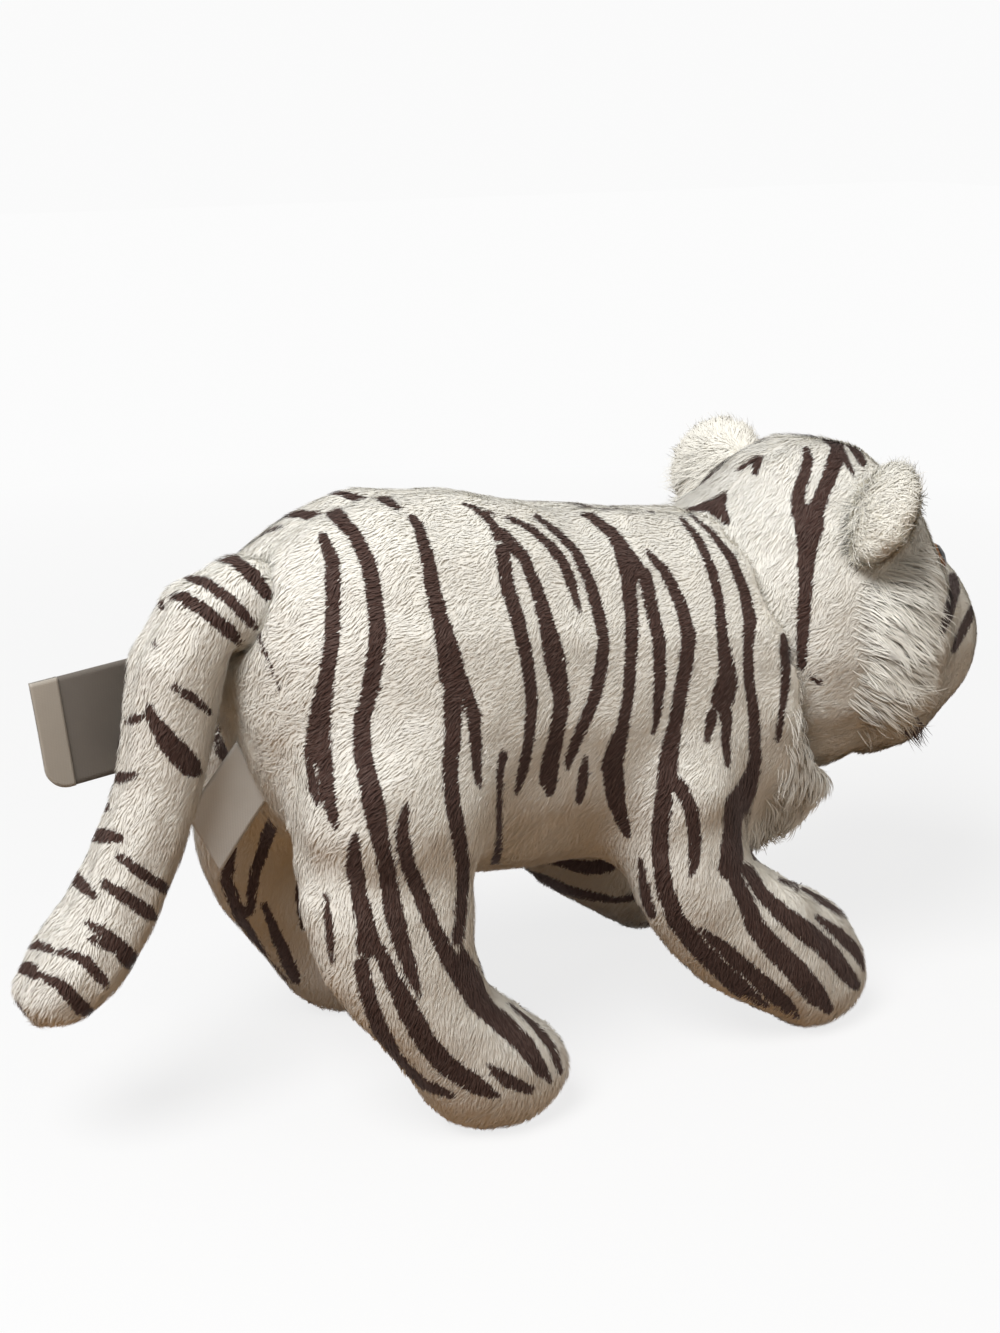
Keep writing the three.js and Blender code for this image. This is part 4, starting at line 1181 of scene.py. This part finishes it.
class PLUSHTIGER_OT_tail(bpy.types.Operator):
    """Makes the tail"""

    bl_idname = "plushtiger.tail"
    bl_label = "Tail"

    def execute(self, context):
        sewing, pile, colours = choices(context)
        finish = printed_finish("tail_plush", colours)
        nodes = ("tail_side_right", "tail_side_left", "tail_filling")
        verts, faces = stuffed(nodes, 1.2 * MM, 0.6 * MM, 6)
        heights, middles, aheads, swells = np.array(TAIL_POSE).T
        heights, middles, aheads = heights * MM, middles * MM, aheads * MM
        middle, ahead, swell = (np.interp(verts[:, 2], heights, row) for row in (middles, aheads, swells))
        verts[:, 0] = middle + (verts[:, 0] - middle) * swell + ahead
        verts[:, 1] *= swell
        normals = vertex_normals(verts, faces)
        verts = seam_groove(outward_lumps(verts, normals, sewing.lump * 0.6), normals)
        coat = Coat(verts, faces, verts.mean(0), 2, (1, 1, 3))

        def print_of(points, normals):
            seen = facing(points, normals) > 0
            return print_gap(np.where(seen[:, None], points, mirrored(points, 7 * MM)), TAIL_STRIPES)

        coat.gap = print_of(verts, coat.normals)
        roots = coat.roots(pile.per_square * 1.15)
        base = coat.at(verts, *roots)
        comb = np.repeat([[-0.7, 0.0, -1.0]], len(base), 0) + 0.3 * drift(base, 6 * MM, 71)

        def print_at(base, face):
            return print_of(base, coat.normals[faces[face]].mean(1))

        coat.pile(roots, comb, pile.length * np.ones(len(base)), pile.width, pile.lean, print_at)
        made = coat.sewn("tail_skin", finish)
        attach(made, "tail")
        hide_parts(*nodes)
        return {"FINISHED"}


def satin_sheet(name, corners, place, thickness, finish, billow, steps=(26, 20), rounding=0.0):
    """A thin sheet over four corners in the plane across y, with a slow billow and its third corner rounded."""
    first, second, third, fourth = (np.array(c) for c in corners)
    size = np.array((np.linalg.norm(second - first), np.linalg.norm(third - second)))
    across, down = steps
    verts = []
    for layer in (0, 1):
        for j in range(down + 1):
            for i in range(across + 1):
                u, v = rounded(i / across, j / down, size, rounding)
                spot = first * (1 - u) * (1 - v) + second * u * (1 - v) + third * u * v + fourth * (1 - u) * v
                out = place + billow(u, v) + (layer - 0.5) * thickness
                verts.append((spot[0], out, spot[1]))
    row = across + 1
    half = row * (down + 1)
    faces = []
    for j in range(down):
        for i in range(across):
            a = j * row + i
            faces.append((a, a + 1, a + row + 1, a + row))
            faces.append((a + half, a + row + half, a + row + 1 + half, a + 1 + half))
    rim = [*range(across), *range(across, half - 1, row), *range(half - 1, half - row, -1),
           *range(half - row, 0, -row)]
    for a, b in zip(rim, rim[1:] + rim[:1]):
        faces.append((a, a + half, b + half, b))
    mesh = bpy.data.meshes.new(name)
    mesh.from_pydata(verts, [], faces)
    mesh.shade_smooth()
    mesh.materials.append(finish)
    piece = bpy.data.objects.new(name, mesh)
    bpy.context.scene.collection.objects.link(piece)
    return piece


def rounded(u, v, size, radius):
    """The place on a sheet, drawn in where it would stand past the arc of the far corner."""
    past = np.array((u, v)) * size - (size - radius)
    if radius and past.min() > 0:
        past *= past.max() / np.linalg.norm(past)
        u, v = (size - radius + past) / size
    return u, v


class PLUSHTIGER_OT_labels(bpy.types.Operator):
    """Makes the two satin labels, which are left bare"""

    bl_idname = "plushtiger.labels"
    bl_label = "Labels"

    def execute(self, context):
        colours = choices(context)[2]
        grey = satin_finish("care_satin", colours.satin, tuple(c * 0.7 for c in colours.satin))
        pale = satin_finish("hem_satin", colours.hem, tuple(c * 0.75 for c in colours.hem))
        white = satin_finish("ribbon_satin", colours.ribbon, tuple(c * 0.8 for c in colours.ribbon))
        shift = np.array((AHEAD, 0))
        corners = [np.array(c) * MM + shift for c in CARE_CORNERS]

        def wave(u, v):
            return (0.5 * math.sin(3.4 * u + 0.8) * math.sin(2.6 * v + 0.4) - 0.1) * MM

        label = satin_sheet("care_label_sheet", corners, CARE_PLACE, SATIN_THICKNESS, grey, wave, rounding=5 * MM)
        first, second, third, fourth = corners
        band = [first + (second - first) * HEM_START, second, third, fourth + (third - fourth) * HEM_START]

        def hem_wave(u, v):
            return wave(HEM_START + (1 - HEM_START) * u, v) - 0.05 * MM

        hem = satin_sheet("care_label_hem", band, CARE_PLACE, HEM_THICKNESS, pale, hem_wave, (12, 28), 5 * MM)
        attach(label, "care_label")
        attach(hem, "care_label")
        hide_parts("care_label")
        corners = [np.array(c) * MM + shift for c in NAME_CORNERS]

        def flutter(u, v):
            return 0.6 * math.sin(2.4 * u + 1.5 * v) * u * MM

        ribbon = satin_sheet("name_label_sheet", corners, 0.0, SATIN_THICKNESS, white, flutter, (20, 16))
        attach(ribbon, "name_label")
        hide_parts("name_label")
        return {"FINISHED"}


class PLUSHTIGER_OT_fittings(bpy.types.Operator):
    """Finishes the eyes, the nose and their washers"""

    bl_idname = "plushtiger.fittings"
    bl_label = "Eyes and nose"

    def execute(self, context):
        colours = choices(context)[2]
        washer = plastic_finish("washer_plastic", tone(226, 224, 214), tone(190, 188, 178), 0.4)
        nose = plastic_finish("nose_plastic", colours.nose, tuple(c * 0.6 for c in colours.nose), 0.3)
        for name in ("eye_right", "eye_left"):
            inside = np.mean(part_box(f"{name}_washer"), 0)
            verts, faces = stuffed((name,), 0.34 * MM, 0, 5)
            axis = unit((np.mean(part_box(name), 0) - inside)[None])[0]
            verts = verts - EYE_DEPTH * axis
            front = verts[(verts @ axis).argmax()]
            coat = Coat(verts, faces, verts.mean(0), 1, (1, 1, 1))
            made = coat.sewn(f"{name}_dome", eye_finish(f"{name}_glass", colours.eye, tuple(front)))
            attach(made, "head")
            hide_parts(name)
            wear(f"{name}_washer", washer)
        wear("nose", nose)
        wear("nose_washer", washer)
        return {"FINISHED"}


def wear(name, finish):
    """Gives a node of the frame its finish."""
    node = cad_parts[name]
    node.data.materials.clear()
    node.data.materials.append(finish)
    node.data.shade_smooth()


class PLUSHTIGER_OT_stage(bpy.types.Operator):
    """Makes the floor, the lamps, the world and the camera"""

    bl_idname = "plushtiger.stage"
    bl_label = "Stage"

    def execute(self, context):
        scene = context.scene
        scene.view_settings.view_transform = "Standard"
        board = board_of("stage_floor")
        cloud = board.noise(3, 3, 0.6)
        pale = board.mix(cloud, tone(236, 236, 236), tone(240, 240, 240))
        card = board.mix(cloud, tone(128, 92, 50), tone(134, 98, 56))
        shadowed, table = (board.node("BsdfDiffuse", {"Color": shade}, output="BSDF") for shade in (pale, card))
        bright = board.node("Emission", {"Color": (1, 1, 1, 1), "Strength": 0.97}, output="Emission")
        away = board.node("VectorMath", {0: board.place()}, output="Value", operation="LENGTH")
        fade = 0.82 + 0.18 * ((away - 0.22) / 0.5).clipped()
        surface = board.mix_shader(board.background_rays(), table, board.mix_shader(fade, shadowed, bright))
        board.node("OutputMaterial", {"Surface": surface})
        mesh = bpy.data.meshes.new("stage_floor")
        mesh.from_pydata([(FLOOR_HALF * x, FLOOR_HALF * y, 0) for x, y in ((-1, -1), (1, -1), (1, 1), (-1, 1))], [],
                         [(0, 1, 2, 3)])
        mesh.materials.append(board.owner)
        floor = bpy.data.objects.new("stage_floor", mesh)
        scene.collection.objects.link(floor)

        scene.world = bpy.data.worlds.new("studio")
        sky = Board(scene.world)
        light, shown = (
            sky.node("Background", {"Color": (1, 1, 1, 1), "Strength": strength}, output="Background")
            for strength in (WORLD_LIGHT, WORLD_SHOWN)
        )
        sky.node("OutputWorld", {"Surface": sky.mix_shader(sky.background_rays(), light, shown)})

        target = Vector((0, 0, LIT_HEIGHT))
        for name, place, power, width, shade in LAMPS:
            data = bpy.data.lights.new(name, "AREA")
            data.color = shade
            data.energy = power
            data.shape = "DISK"
            data.size = width
            made = bpy.data.objects.new(name, data)
            made.location = place
            made.rotation_euler = (target - Vector(place)).to_track_quat("-Z", "Y").to_euler()
            scene.collection.objects.link(made)

        eye, _, _, ahead = photo_axes()
        camera = bpy.data.cameras.new("photo_camera")
        camera.sensor_fit = "VERTICAL"
        camera.sensor_height = FILM_HEIGHT
        camera.lens = FOCAL_PIXELS * FILM_HEIGHT / PHOTO_SIZE[1]
        camera.clip_start = 0.01
        holder = bpy.data.objects.new("photo_camera", camera)
        holder.location = eye
        holder.rotation_euler = Vector(ahead).to_track_quat("-Z", "Y").to_euler()
        scene.collection.objects.link(holder)
        scene.camera = holder
        return {"FINISHED"}


class PLUSHTIGER_PT_panel(bpy.types.Panel):
    """Lists the makers of the tiger's pieces"""

    bl_idname = "PLUSHTIGER_PT_panel"
    bl_label = "Plush tiger"
    bl_space_type = "VIEW_3D"
    bl_region_type = "UI"
    bl_category = "Plush tiger"

    def draw(self, context):
        for maker in MAKERS:
            self.layout.operator(maker.bl_idname)
        for held in choices(context):
            for key in held.bl_rna.properties.keys():
                if key not in ("rna_type", "name"):
                    self.layout.prop(held, key)


GROUPS = {"plush_sewing": PlushSewing, "plush_pile": PlushPile, "plush_colours": PlushColours}
MAKERS = (
    PLUSHTIGER_OT_stage,
    PLUSHTIGER_OT_body,
    PLUSHTIGER_OT_head,
    PLUSHTIGER_OT_ears,
    PLUSHTIGER_OT_tail,
    PLUSHTIGER_OT_labels,
    PLUSHTIGER_OT_fittings,
)
CLASSES = (*GROUPS.values(), *MAKERS, PLUSHTIGER_PT_panel)


def register():
    for group in CLASSES:
        bpy.utils.register_class(group)
    for name, group in GROUPS.items():
        setattr(bpy.types.Scene, name, bpy.props.PointerProperty(type=group))


def unregister():
    for name in GROUPS:
        delattr(bpy.types.Scene, name)
    for group in reversed(CLASSES):
        bpy.utils.unregister_class(group)


def main():
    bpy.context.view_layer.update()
    register()
    for maker in MAKERS:
        family, name = maker.bl_idname.split(".")
        getattr(getattr(bpy.ops, family), name)()


if __name__ == "__main__":
    main()
